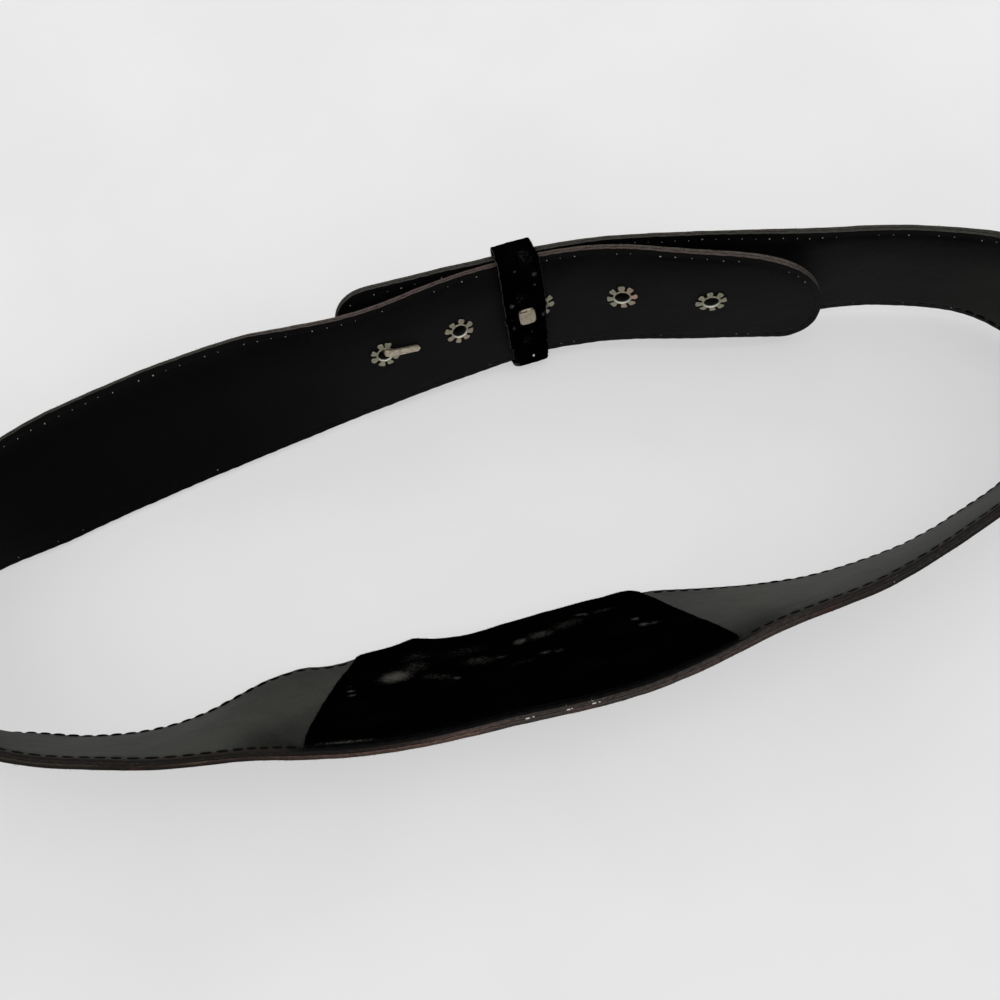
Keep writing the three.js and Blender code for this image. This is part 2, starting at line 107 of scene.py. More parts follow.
class Wire:
    """An output socket of a finish's tree, whose arithmetic adds Math nodes."""

    def __init__(self, tree: "FinishTree", socket: bpy.types.NodeSocket) -> None:
        """Keep the tree and the socket."""
        self.tree = tree
        self.socket = socket

    def _math(self, operation: str, first: "Number", second: "Number") -> "Wire":
        """Return a Math node's result for two values or wires."""
        return self.tree.node("ShaderNodeMath", {"operation": operation}, {0: first, 1: second})

    def __add__(self, other: "Number") -> "Wire":
        """Return this wire plus the other value."""
        return self._math("ADD", self, other)

    def __sub__(self, other: "Number") -> "Wire":
        """Return this wire minus the other value."""
        return self._math("SUBTRACT", self, other)

    def __rsub__(self, other: "Number") -> "Wire":
        """Return the other value minus this wire."""
        return self._math("SUBTRACT", other, self)

    def __mul__(self, other: "Number") -> "Wire":
        """Return this wire times the other value."""
        return self._math("MULTIPLY", self, other)

    __radd__ = __add__
    __rmul__ = __mul__

    def step(self, low: float, high: float) -> "Wire":
        """Return a smooth step that is 0 at low and 1 at high.

        Args:
            low: Value of this wire where the step is 0.
            high: Value where it is 1. It may be the lower one of the two.

        Returns:
            The step as a wire.
        """
        ends = {"Value": self, "From Min": low, "From Max": high, "To Min": 0.0, "To Max": 1.0}
        if low > high:
            ends.update({"From Min": high, "From Max": low, "To Min": 1.0, "To Max": 0.0})
        return self.tree.node("ShaderNodeMapRange", {"interpolation_type": "SMOOTHSTEP"}, ends)

    def within(self, low: float, start: float, end: float, high: float) -> "Wire":
        """Return 1 from start to end, which falls smoothly to 0 at low and at high."""
        return self.step(low, start) * self.step(high, end)


Number = Union[float, Wire]


class FinishTree:
    """The node tree of one finish, ending in a Principled shader."""

    def __init__(self, name: str) -> None:
        """Start an empty material.

        Args:
            name: The material's name.
        """
        self.material = bpy.data.materials.new(name)
        self.material.use_nodes = True
        self.tree = self.material.node_tree
        self.tree.nodes.clear()

    def node(
        self,
        kind: str,
        settings: Optional[dict[str, Any]] = None,
        inputs: Optional[dict[Union[int, str], Any]] = None,
        output: Union[int, str] = 0,
    ) -> Wire:
        """Add a node.

        Args:
            kind: Blender's name of the node's type.
            settings: The node's own settings. stops are a colour ramp's positions and colours.
            inputs: Values or wires of its sockets, by index or name.
            output: The socket to return.

        Returns:
            The chosen output as a wire.
        """
        node = self.tree.nodes.new(kind)
        for name, value in (settings or {}).items():
            if name == "stops":
                self._set_stops(node.color_ramp, value)
            else:
                setattr(node, name, value)
        for key, value in (inputs or {}).items():
            if isinstance(value, Wire):
                self.tree.links.new(value.socket, node.inputs[key])
            else:
                node.inputs[key].default_value = value
        return Wire(self, node.outputs[output])

    @staticmethod
    def _set_stops(ramp: bpy.types.ColorRamp, stops: Tones) -> None:
        """Give a colour ramp its stops.

        Args:
            ramp: The ramp.
            stops: Positions from 0 to 1, each with its colour.
        """
        while len(ramp.elements) < len(stops):
            ramp.elements.new(1.0)
        for element, (position, colour) in zip(ramp.elements, stops):
            element.position = position
            element.color = (*colour, 1.0)

    def place(self) -> Wire:
        """Return the flat place of leather, in millimetres, as a vector."""
        return self.node("ShaderNodeAttribute", {"attribute_name": PLACE_ATTRIBUTE}, output="Vector")

    def noted(self, name: str) -> Wire:
        """Return the values noted under a name."""
        return self.node("ShaderNodeAttribute", {"attribute_name": name}, output="Fac")

    def metal_place(self) -> Wire:
        """Return Object coordinates in millimetres."""
        place = self.node("ShaderNodeTexCoord", output="Object")
        return self.stretch(place, (1 / MM, 1 / MM, 1 / MM))

    def part(self, vector: Wire, axis: str) -> Wire:
        """Return one part of a vector, by the letter of its axis."""
        return self.node("ShaderNodeSeparateXYZ", inputs={0: vector}, output=axis)

    def stretch(self, vector: Wire, scales: tuple[float, float, float]) -> Wire:
        """Return a vector whose parts are multiplied by scales."""
        return self.node("ShaderNodeVectorMath", {"operation": "MULTIPLY"}, {0: vector, 1: scales})

    def noise(self, vector: Wire, scale: float, detail: float = 2.0, roughness: float = 0.5) -> Wire:
        """Return a noise value around 0.5, with scale bumps to a millimetre."""
        inputs = {"Vector": vector, "Scale": scale, "Detail": detail, "Roughness": roughness}
        return self.node("ShaderNodeTexNoise", inputs=inputs)

    def streaks(self, place: Wire, along: float, across: float, detail: float, roughness: float) -> Wire:
        """Return a noise value whose bumps to a millimetre differ along and across."""
        return self.noise(self.stretch(place, (along, across, across)), 1.0, detail, roughness)

    def ramp(self, share: Wire, stops: Tones) -> Wire:
        """Return the colour of a row of stops at a share."""
        return self.node("ShaderNodeValToRGB", {"stops": stops}, {0: share})

    def cells(self, vector: Wire, scale: float, output: str = "Distance") -> Wire:
        """Return an output of a field of cells, with scale cells to a millimetre."""
        return self.node("ShaderNodeTexVoronoi", inputs={"Vector": vector, "Scale": scale}, output=output)

    def mix(self, share: Number, first: Union[Wire, Colour], second: Union[Wire, Colour]) -> Wire:
        """Mix two colours.

        Args:
            share: How much of the second colour shows, from 0 to 1.
            first: The first colour.
            second: The second colour.

        Returns:
            The mixed colour.
        """
        colours = [c if isinstance(c, Wire) else (*c, 1.0) for c in (first, second)]
        inputs = {0: share, 6: colours[0], 7: colours[1]}
        return self.node("ShaderNodeMix", {"data_type": "RGBA"}, inputs, 2)

    def specks(self, vector: Wire, scale: float, size: float, share: float) -> Wire:
        """Scatter small round specks over a surface.

        Args:
            vector: Where on the surface, in millimetres.
            scale: How many cells there are to a millimetre, each with a speck or none.
            size: The specks' radius in millimetres.
            share: The share of the cells that have one.

        Returns:
            1 in a bright speck, less in a faint one, and 0 beside them.
        """
        spot = self.cells(vector, scale).step(1.4 * size * scale, 0.6 * size * scale)
        tone = self.part(self.cells(vector, scale, "Color"), "X")
        return spot * tone.step(1 - share, 1.0)

    def relief(self, *layers: tuple[Wire, float]) -> Wire:
        """Lay reliefs on top of each other.

        Args:
            layers: Each relief's height and its depth in millimetres, the broadest first.

        Returns:
            The normal of them all.
        """
        below: dict[str, Wire] = {}
        for height, depth in layers:
            inputs = {"Height": height, "Distance": depth * MM, "Strength": 1.0}
            below = {"Normal": self.node("ShaderNodeBump", inputs={**inputs, **below})}
        return below["Normal"]

    def finish(self, varying: dict[str, Any], constants: dict[str, Any]) -> Material:
        """End the tree in a Principled shader.

        Args:
            varying: Wires for Base Color, Roughness, Metallic or Normal.
            constants: Plain values for the shader's other sockets.

        Returns:
            The finished material.
        """
        shader = self.node("ShaderNodeBsdfPrincipled", inputs={**constants, **varying})
        output = self.tree.nodes.new("ShaderNodeOutputMaterial")
        self.tree.links.new(shader.socket, output.inputs["Surface"])
        return self.material


# Finishes


@dataclass(frozen=True)
class Suede:
    """Black suede with a matt, brushed nap, grey where it is rubbed."""

    name: str
    base: Colour = (0.0030, 0.0029, 0.0031)
    brushed: Colour = (0.0085, 0.0083, 0.0088)
    rubbed: Colour = (0.055, 0.053, 0.047)
    lint: Colour = (0.16, 0.16, 0.155)
    lint_share: float = 0.12
    roughness: float = 0.97
    gloss: float = 0.06
    sheen: float = 0.03

    def make(self) -> Material:
        """Build the finish's nodes.

        Returns:
            The material.
        """
        tree = FinishTree(self.name)
        place = tree.place()
        strands = tree.streaks(place, 2.2, 5.0, 3.0, 0.7)
        patches = tree.streaks(place, 0.05, 0.11, 4.0, 0.6)
        nap = patches.step(0.42, 0.72) * strands.step(0.3, 0.75)
        colour = tree.mix(nap, self.base, self.brushed)
        rub = tree.noted(WEAR_AND_SHADE_ATTRIBUTE)
        grain = tree.streaks(place, 1.1, 2.4, 4.0, 0.75)
        worn = (rub + (grain - 0.5) * 1.1).step(0.30, 1.10) * rub.step(0.02, 0.2)
        colour = tree.mix(worn, colour, self.rubbed)
        lint = tree.specks(place, 0.17, 0.16, self.lint_share)
        colour = tree.mix(lint, colour, self.lint)
        normal = tree.relief((patches, 0.5), (strands, 0.16))
        constants = {
            "Roughness": self.roughness,
            "Specular IOR Level": self.gloss,
            "Sheen Weight": self.sheen,
            "Sheen Roughness": 0.5,
        }
        return tree.finish({"Base Color": colour, "Normal": normal}, constants)


@dataclass(frozen=True)
class SmoothLeather:
    """Smooth black lining leather: fine grain, soft creases and dust; lighter on the near side, partly faded
    and partly a painted reflection of the sky, with painted shade towards the upper edge.
    """

    name: str
    length: float
    tones: Tones
    seam_tones: Tones
    shadow: Colour = (0.0012, 0.0012, 0.0013)
    crease: Colour = (0.075, 0.076, 0.068)
    dust: Colour = (0.10, 0.10, 0.09)
    seam: float = 42.75
    gloss: float = 0.03

    def make(self) -> Material:
        """Build the finish's nodes.

        Returns:
            The material.
        """
        tree = FinishTree(self.name)
        place = tree.place()
        along = tree.part(place, "X")
        height = tree.part(place, "Y")
        share = along * (1 / self.length)
        clouds = tree.streaks(place, 0.045, 0.06, 4.0, 0.6)
        mottle = tree.noise(place, 0.9, 4.0, 0.7)
        near = along.within(335.0, 370.0, 750.0, 790.0)
        # The height steps paint shade towards the upper edge, on the far side and beyond the patch; clouds
        # and mottle add random darker tone.
        shade = height.step(22.0, 42.0) * (1.0 - near) * 0.72
        beyond_patch = along.step(428.0, 442.0) * (0.28 + 0.25 * along.step(602.0, 592.0))
        shade = shade + height.step(20.0, 42.0) * beyond_patch * near
        shade = shade + clouds.step(0.62, 0.34) * 0.22 + mottle.step(0.6, 0.3) * 0.12
        colour = tree.mix(shade, tree.ramp(share, self.tones), self.shadow)
        outside = (height + (mottle - 0.5) * 0.5).step(self.seam - 0.15, self.seam + 0.15)
        colour = tree.mix(outside, colour, tree.ramp(share, self.seam_tones))
        colour = tree.mix(tree.noted(WEAR_AND_SHADE_ATTRIBUTE) * mottle.step(0.3, 0.6), colour, self.crease)
        dust = tree.specks(place, 0.14, 0.15, 0.16) + tree.specks(place, 0.37, 0.08, 0.12) * 0.5
        colour = tree.mix(dust, colour, self.dust)
        grain = tree.cells(tree.stretch(place, (1.0, 1.25, 1.0)), 1.5)
        pores = tree.noise(place, 3.6, 3.0, 0.6)
        folds = tree.streaks(place, 0.11, 0.14, 3.0, 0.45)
        normal = tree.relief((folds, 0.3), (grain, 0.035), (pores, 0.03))
        roughness = 0.55 + (clouds - 0.5) * 0.2 + (pores - 0.5) * 0.12
        varying = {"Base Color": colour, "Roughness": roughness, "Normal": normal}
        return tree.finish(varying, {"Specular IOR Level": self.gloss})


@dataclass(frozen=True)
class CutEdge:
    """Raw edge of cut leather: fibrous, with a colour that changes along the strap, and painted shade across
    part of its depth on the near side.
    """

    name: str
    length: float
    tones: Tones
    spots: Colour = (0.085, 0.030, 0.026)
    dark: Colour = (0.010, 0.009, 0.008)
    pale: Colour = (0.105, 0.080, 0.058)
    stained: float = 0.35
    shaded_depths: tuple[float, float] = (9.0, 10.0)

    def make(self) -> Material:
        """Build the finish's nodes.

        Returns:
            The material.
        """
        tree = FinishTree(self.name)
        place = tree.place()
        along = tree.part(place, "X")
        tone = tree.ramp(along * (1 / self.length), self.tones)
        strands = tree.streaks(place, 0.55, 2.2, 4.0, 0.65)
        blotches = tree.streaks(place, 0.13, 0.3, 3.0, 0.6)
        lumps = tree.streaks(place, 0.8, 1.1, 4.0, 0.7)
        fluff = tree.noise(place, 2.8, 3.0, 0.7)
        colour = tree.mix(strands.step(0.60, 0.36) * 0.5, tone, self.dark)
        colour = tree.mix(lumps.step(0.52, 0.3) * 0.6, colour, self.dark)
        colour = tree.mix(strands.step(0.52, 0.68) * blotches.step(0.42, 0.6) * 0.45, colour, self.pale)
        # On the near side the edge is painted darker between the shaded depths: painted shade where the edge
        # turns away from the light. The span named worn, from 430 to 640 along the strap, only weakens this
        # painted shade.
        near = along.within(330.0, 370.0, 750.0, 790.0)
        worn = along.within(430.0, 450.0, 600.0, 640.0)
        depth = tree.part(place, "Z") + (lumps - 0.5) * 0.7
        colour = tree.mix(depth.step(*self.shaded_depths) * near * (0.82 - 0.52 * worn), colour, self.dark)
        colour = tree.mix(blotches.step(0.64, 0.80) * self.stained, colour, self.spots)
        normal = tree.relief((strands, 0.25), (lumps, 0.3), (fluff, 0.16))
        constants = {"Roughness": 0.92, "Specular IOR Level": 0.05}
        return tree.finish({"Base Color": colour, "Normal": normal}, constants)


@dataclass(frozen=True)
class WornMetal:
    """Plated metal, worn and stained, scratched along its length, with painted shade where it is noted and a
    painted highlight where its tone is below 0.
    """

    name: str
    plate: Colour
    stain: Colour
    stained: float
    roughness: float = 0.42
    other: Colour = (0.44, 0.28, 0.21)
    bright: Colour = (0.85, 0.83, 0.74)
    scratch: Colour = (0.10, 0.08, 0.06)
    scratched: float = 0.25
    recess_shade: Colour = (0.006, 0.006, 0.005)
    flat: bool = False

    def make(self) -> Material:
        """Build the finish's nodes.

        Returns:
            The material.
        """
        tree = FinishTree(self.name)
        place = tree.place() if self.flat else tree.metal_place()
        blotches = tree.noise(place, 0.75, 5.0, 0.62)
        pits = tree.noise(place, 4.5, 3.0, 0.7)
        scratches = tree.streaks(place, 0.45, 6.0, 3.0, 0.65)
        low = 0.72 - self.stained
        stain = (blotches * 0.6 + pits * 0.15 + scratches * 0.25).step(low, low + 0.2)
        tone = tree.noted(TONE_ATTRIBUTE)
        colour = tree.mix(tone.step(0.0, 1.0), self.plate, self.other)
        colour = tree.mix(stain, colour, self.stain)
        colour = tree.mix(scratches.step(0.54, 0.66) * self.scratched, colour, self.scratch)
        # A tone below 0 paints a highlight: there the bright colour is a painted highlight.
        colour = tree.mix(tone.step(0.0, -1.0), colour, self.bright)
        # The noted values paint shade: the inside of an eyelet's barrel and the staple's slit turn dark and
        # less metallic as painted shade.
        recess_shade = tree.noted(WEAR_AND_SHADE_ATTRIBUTE)
        colour = tree.mix(recess_shade, colour, self.recess_shade)
        roughness = self.roughness + stain * 0.18 + (scratches - 0.5) * 0.2 + recess_shade * 0.4
        normal = tree.relief((blotches, 0.16), (scratches, 0.05), (pits, 0.04))
        metallic = 0.92 - recess_shade * 0.9
        varying = {"Base Color": colour, "Roughness": roughness, "Normal": normal, "Metallic": metallic}
        return tree.finish(varying, {"Specular IOR Level": 0.3})


@dataclass(frozen=True)
class Fluff:
    """Loose fibres and lint, of one colour."""

    name: str
    colour: Colour
    other: Colour

    def make(self) -> Material:
        """Build the finish's nodes.

        Returns:
            The material.
        """
        tree = FinishTree(self.name)
        tone = tree.noise(tree.place(), 0.8, 2.0, 0.5)
        colour = tree.mix(tone.step(0.35, 0.65), self.colour, self.other)
        return tree.finish({"Base Color": colour}, {"Roughness": 0.9, "Specular IOR Level": 0.1})


@dataclass(frozen=True)
class Thread:
    """Twisted sewing thread."""

    name: str
    strand: Colour
    valley: Colour

    def make(self) -> Material:
        """Build the finish's nodes.

        Returns:
            The material.
        """
        tree = FinishTree(self.name)
        place = tree.place()
        twist = tree.noise(tree.stretch(place, (3.0, 3.0, 1.0)), 1.0, 2.0, 0.5)
        colour = tree.mix(twist.step(0.35, 0.65), self.valley, self.strand)
        normal = tree.relief((twist, 0.12))
        constants = {"Roughness": 0.8, "Specular IOR Level": 0.08}
        return tree.finish({"Base Color": colour, "Normal": normal}, constants)


@dataclass(frozen=True)
class PaleBoard:
    """The plain pale surface that the belt stands on, which also glows evenly, softening the belt's shadows
    on it.
    """

    name: str = "pale_board"
    paint: Colour = (0.31, 0.31, 0.31)
    shade: Colour = (0.29, 0.29, 0.29)
    glow: Colour = (0.46, 0.46, 0.46)

    def make(self) -> Material:
        """Build the finish's nodes.

        Returns:
            The material.
        """
        tree = FinishTree(self.name)
        clouds = tree.noise(tree.metal_place(), 0.012, 3.0, 0.5)
        colour = tree.mix(clouds.step(0.35, 0.65), self.paint, self.shade)
        constants = {
            "Roughness": 0.85,
            "Specular IOR Level": 0.2,
            "Emission Color": (*self.glow, 1.0),
            "Emission Strength": 1.0,
        }
        return tree.finish({"Base Color": colour}, constants)


# Paths that flat leather is bent along


def unit(vectors: Array) -> Array:
    """Return vectors at unit length."""
    return vectors / np.linalg.norm(vectors, axis=-1, keepdims=True)


def lengths_along(points: Array) -> Array:
    """Return how far along a line of points each of them lies."""
    gaps = np.linalg.norm(np.diff(points, axis=0), axis=1)
    return np.concatenate([[0.0], np.cumsum(gaps)])


def bell(values: Array, middle: float, width: float) -> Array:
    """Return a bell curve, 1 where the values reach the middle."""
    return np.exp(-(((values - middle) / width) ** 2))


@dataclass(frozen=True)
class Section:
    """A section of the strap: its lower edge in plan, that edge's rise, and the lean in degrees."""

    x: float
    y: float
    rise: float
    lean: float


STRAP_SECTIONS = tuple(Section(*row) for row in (
    (98.6, 67.2, 5.1, 6.7), (60.5, 65.2, 7.2, 5.6), (22.8, 64.3, 5.7, 11.7), (-13.0, 54.2, 5.0, 16.0),
    (-48.1, 40.8, 3.5, 15.7), (-82.1, 26.3, 2.0, 28.0), (-115.6, 11.0, 1.6, 31.5),
    (-148.7, -5.7, 1.7, 26.1), (-180.1, -24.2, 2.6, 1.7), (-183.7, -59.1, 5.2, -8.5),
    (-149.8, -68.8, 2.5, 9.4), (-113.6, -66.5, 1.0, 18.4), (-80.4, -52.3, 3.2, 35.8),
    (-45.1, -43.1, 5.2, 47.3), (-9.5, -35.6, 4.1, 46.8), (25.8, -25.8, 5.8, 49.2),
    (62.3, -22.1, 2.4, 29.3), (98.7, -16.1, 1.0, 17.5), (133.1, -2.0, 0.9, 9.1),
    (164.3, 18.3, 1.2, 5.8), (184.9, 47.8, 2.0, 1.6), (161.3, 74.2, 3.4, -0.7),
    (124.9, 79.9, 4.3, -0.2), (87.8, 76.2, 3.4, 4.4), (50.7, 72.2, 2.8, 9.9), (13.9, 67.1, 2.7, 13.1),
    (-21.9, 55.2, 2.8, 16.5), (-57.3, 42.8, 2.6, 21.0),
))


class StrapPath:
    """The loop that the strap stands in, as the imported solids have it."""

    def __init__(self, sections: Sequence[Section]) -> None:
        """Measure the curve through the sections.

        Args:
            sections: Evenly spaced sections of the strap.
        """
        rows = np.array([[s.x, s.y, s.rise, s.lean] for s in sections])
        self.rows = np.vstack([2 * rows[0] - rows[1], rows, 2 * rows[-1] - rows[-2]])
        self.spans = len(sections) - 1
        self.steps = np.linspace(0, self.spans, 50 * self.spans + 1)
        self.lengths = lengths_along(self._curve(self.steps)[:, :3])

    def _parts(self, steps: Array) -> tuple[Array, ...]:
        """Work out the curve's cubic in each span.

        Args:
            steps: Places on the curve, counted in spans.

        Returns:
            How far into its span each step lies, and the cubic's four coefficients.
        """
        span = np.clip(np.floor(steps), 0, self.spans - 1).astype(int)
        share = (steps - span)[:, None]
        before, start, end, after = (self.rows[span + k] for k in range(4))
        slope_in = (end - before) / 2
        slope_out = (after - start) / 2
        square = -3 * start + 3 * end - 2 * slope_in - slope_out
        cube = 2 * start - 2 * end + slope_in + slope_out
        return share, start, slope_in, square, cube

    def _curve(self, steps: Array) -> Array:
        """Return foot points and leans at steps counted in spans."""
        share, start, slope, square, cube = self._parts(steps)
        return start + share * (slope + share * (square + share * cube))

    def _slope(self, steps: Array) -> Array:
        """Return how foot points and leans change at the steps."""
        share, _, slope, square, cube = self._parts(steps)
        return slope + share * (2 * square + 3 * share * cube)

    def frames(self, along: Array) -> tuple[Array, ...]:
        """Return foot points and the forward, across and facing directions.

        Args:
            along: Distances along the strap in millimetres.

        Returns:
            Four arrays with a row for each distance.
        """
        steps = np.interp(along, self.lengths, self.steps)
        curve = self._curve(steps)
        forward = unit(self._slope(steps)[:, :3])
        outward = unit(np.cross(forward, UP))
        upright = np.cross(outward, forward)
        lean = np.radians(curve[:, 3])[:, None]
        across = upright * np.cos(lean) + outward * np.sin(lean)
        facing = outward * np.cos(lean) - upright * np.sin(lean)
        return curve[:, :3], forward, across, facing

    def bend(self, flat: Array) -> Array:
        """Return where flat places, as along, height and depth, lie in the loop, in millimetres."""
        foot, _, across, facing = self.frames(flat[:, 0])
        return foot + across * flat[:, 1:2] + facing * flat[:, 2:3]

    def lay(self, flat: Array) -> Array:
        """Move the worn strap into the loop.

        Args:
            flat: Flat places, as along, height and depth.

        Returns:
            Where they lie in millimetres, none below the floor.
        """
        places = self.bend(WEAR.moved(flat))
        places[:, 2] = np.maximum(places[:, 2], 0.0)
        return places

    def surface(self, along: float, height: float) -> Array:
        """Return a frame that lies flat on the lining at a place.

        Args:
            along: Distance along the strap.
            height: Height from the lower edge.

        Returns:
            A 4 by 4 matrix whose x runs forward, y across and z outwards, in millimetres.
        """
        reach = 1.0
        behind, ahead = self.bend(np.array([[along - reach, height, 0], [along + reach, height, 0]]))
        across = self.frames(np.array([along]))[2][0]
        facing = unit(np.cross(ahead - behind, across))
        matrix = np.eye(4)
        matrix[:3, 0] = np.cross(across, facing)
        matrix[:3, 1] = across
        matrix[:3, 2] = facing
        matrix[:3, 3] = self.bend(np.array([[along, height, 0.0]]))[0]
        return matrix

    def band_behind(self, point: Array, forward: Array, height: float) -> float:
        """Find the hook end's band behind a point.

        Args:
            point: The point, in millimetres.
            forward: The strap's direction there.
            height: Height on the band from its lower edge.

        Returns:
            How far along the strap the band passes straight behind the point.
        """
        along = np.arange(STRAP.length - 130, STRAP.length, 0.25)
        flat = np.stack([along, np.full_like(along, height), np.zeros_like(along)], axis=1)
        miss = np.abs((self.bend(flat) - point) @ forward)
        return float(along[np.argmin(miss)])


class PlanePath:
    """A strip's path in a plane: a line through rounded corners, with the strip's width across it."""

    def __init__(self, corners: Sequence[Array], radius: float, plane: Array) -> None:
        """Round off the corners.

        Args:
            corners: The line's corners in the plane, in millimetres.
            radius: How far before and behind a corner its rounding reaches.
            plane: A 4 by 4 matrix whose x and y span the plane.
        """
        points = [corners[0]]
        for before, corner, after in zip(corners, corners[1:], corners[2:]):
            back, ahead = before - corner, after - corner
            reach = min(radius, np.linalg.norm(back) / 2, np.linalg.norm(ahead) / 2)
            enter = corner + unit(back) * reach
            leave = corner + unit(ahead) * reach
            for share in np.linspace(0, 1, 12):
                points.append((1 - share) ** 2 * enter + 2 * share * (1 - share) * corner + share**2 * leave)
        points = np.array([*points, corners[-1]])
        lengths = lengths_along(points)
        self.length = float(lengths[-1])
        self.plane = plane
        self.steps = np.linspace(0, self.length, int(self.length / 0.1))
        self.line = np.stack([np.interp(self.steps, lengths, points[:, k]) for k in (0, 1)], axis=1)
        heading = unit(np.gradient(self.line, axis=0))
        spread = np.ones(7) / 7
        padded = np.pad(heading, ((3, 3), (0, 0)), mode="edge")
        self.heading = unit(np.stack([np.convolve(padded[:, k], spread, "valid") for k in (0, 1)], axis=1))

    def bend(self, flat: Array) -> Array:
        """Move a strip along the line.

        Args:
            flat: Flat places, as along, across and depth.

        Returns:
            Where they lie in millimetres, none below the floor.
        """
        line = [np.interp(flat[:, 0], self.steps, self.line[:, k]) for k in (0, 1)]
        heading = [np.interp(flat[:, 0], self.steps, self.heading[:, k]) for k in (0, 1)]
        x = line[0] - heading[1] * flat[:, 2]
        y = line[1] + heading[0] * flat[:, 2]
        places = np.stack([x, y, flat[:, 1], np.ones(len(x))], axis=1) @ self.plane.T
        places[:, 2] = np.maximum(places[:, 2], 0.0)
        return places[:, :3]


# Pieces


def present(piece: Piece, slot: Slot, *nodes: str) -> Piece:
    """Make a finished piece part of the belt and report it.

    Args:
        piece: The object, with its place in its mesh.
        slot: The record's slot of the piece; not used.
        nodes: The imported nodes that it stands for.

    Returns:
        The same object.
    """
    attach(piece, "root")
    if nodes:
        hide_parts(*nodes)
    LOG.info("%s: %d faces", piece.name, len(piece.data.polygons))
    return piece


def linked(name: str, mesh: Mesh, *finishes: Material) -> Piece:
    """Make a smooth-shaded object.

    Args:
        name: The object's name.
        mesh: Its mesh.
        finishes: Its material slots, in order.

    Returns:
        The object.
    """
    for finish in finishes:
        mesh.materials.append(finish)
    mesh.polygons.foreach_set("use_smooth", np.ones(len(mesh.polygons), bool))
    piece = bpy.data.objects.new(name, mesh)
    bpy.context.scene.collection.objects.link(piece)
    return piece


def points_of(mesh: Mesh) -> Array:
    """Read a mesh's vertices.

    Args:
        mesh: The mesh.

    Returns:
        An array with a row for each vertex.
    """
    points = np.empty(len(mesh.vertices) * 3)
    mesh.vertices.foreach_get("co", points)
    return points.reshape(-1, 3)


def set_points(mesh: Mesh, points: Array) -> None:
    """Move a mesh's vertices to points given in millimetres."""
    mesh.vertices.foreach_set("co", (points * MM).ravel())
    mesh.update()


def note(mesh: Mesh, name: str, kind: str, values: Array) -> None:
    """Store a value for each vertex.

    Args:
        mesh: The mesh.
        name: The attribute's name.
        kind: FLOAT or FLOAT_VECTOR.
        values: A value or a row for each vertex.
    """
    attribute = mesh.attributes.new(name, kind, "POINT")
    key = "vector" if kind == "FLOAT_VECTOR" else "value"
    attribute.data.foreach_set(key, values.astype(np.float32).ravel())


def mesh_of(name: str, bm: BMesh) -> Mesh:
    """Turn a bmesh into a mesh.

    Args:
        name: The mesh's name.
        bm: The bmesh, which is freed.

    Returns:
        The mesh.
    """
    mesh = bpy.data.meshes.new(name)
    bm.to_mesh(mesh)
    bm.free()
    return mesh


def sharp_edges(bm: BMesh, degrees: float) -> list[bmesh.types.BMEdge]:
    """Return the edges whose two faces turn by more than an angle."""
    limit = math.radians(degrees)
    return [edge for edge in bm.edges if edge.is_manifold and edge.calc_face_angle(0) > limit]


def round_off(
    bm: BMesh,
    edges: Sequence[bmesh.types.BMEdge],
    radius: float,
    segments: int,
    clamp: bool = False,
) -> None:
    """Round off edges.

    Args:
        bm: The shape.
        edges: The edges to round off.
        radius: How far the rounding reaches from an edge.
        segments: Number of steps round an edge.
        clamp: Keep neighbouring roundings from crossing.
    """
    bmesh.ops.bevel(
        bm,
        geom=edges,
        offset=radius,
        offset_type="OFFSET",
        segments=segments,
        profile=0.5,
        affect="EDGES",
        material=-1,
        clamp_overlap=clamp,
    )


def ball(subdivisions: int) -> BMesh:
    """Make a ball of radius 1.

    Args:
        subdivisions: How finely it is divided.

    Returns:
        The ball.
    """
    bm = bmesh.new()
    bmesh.ops.create_icosphere(bm, subdivisions=subdivisions, radius=1.0)
    return bm


def placed(at: Sequence[float], size: Sequence[float]) -> Matrix:
    """Return the transform that scales a shape and then moves it to a place."""
    return Matrix.Translation(at) @ Matrix.Diagonal((*size, 1.0))


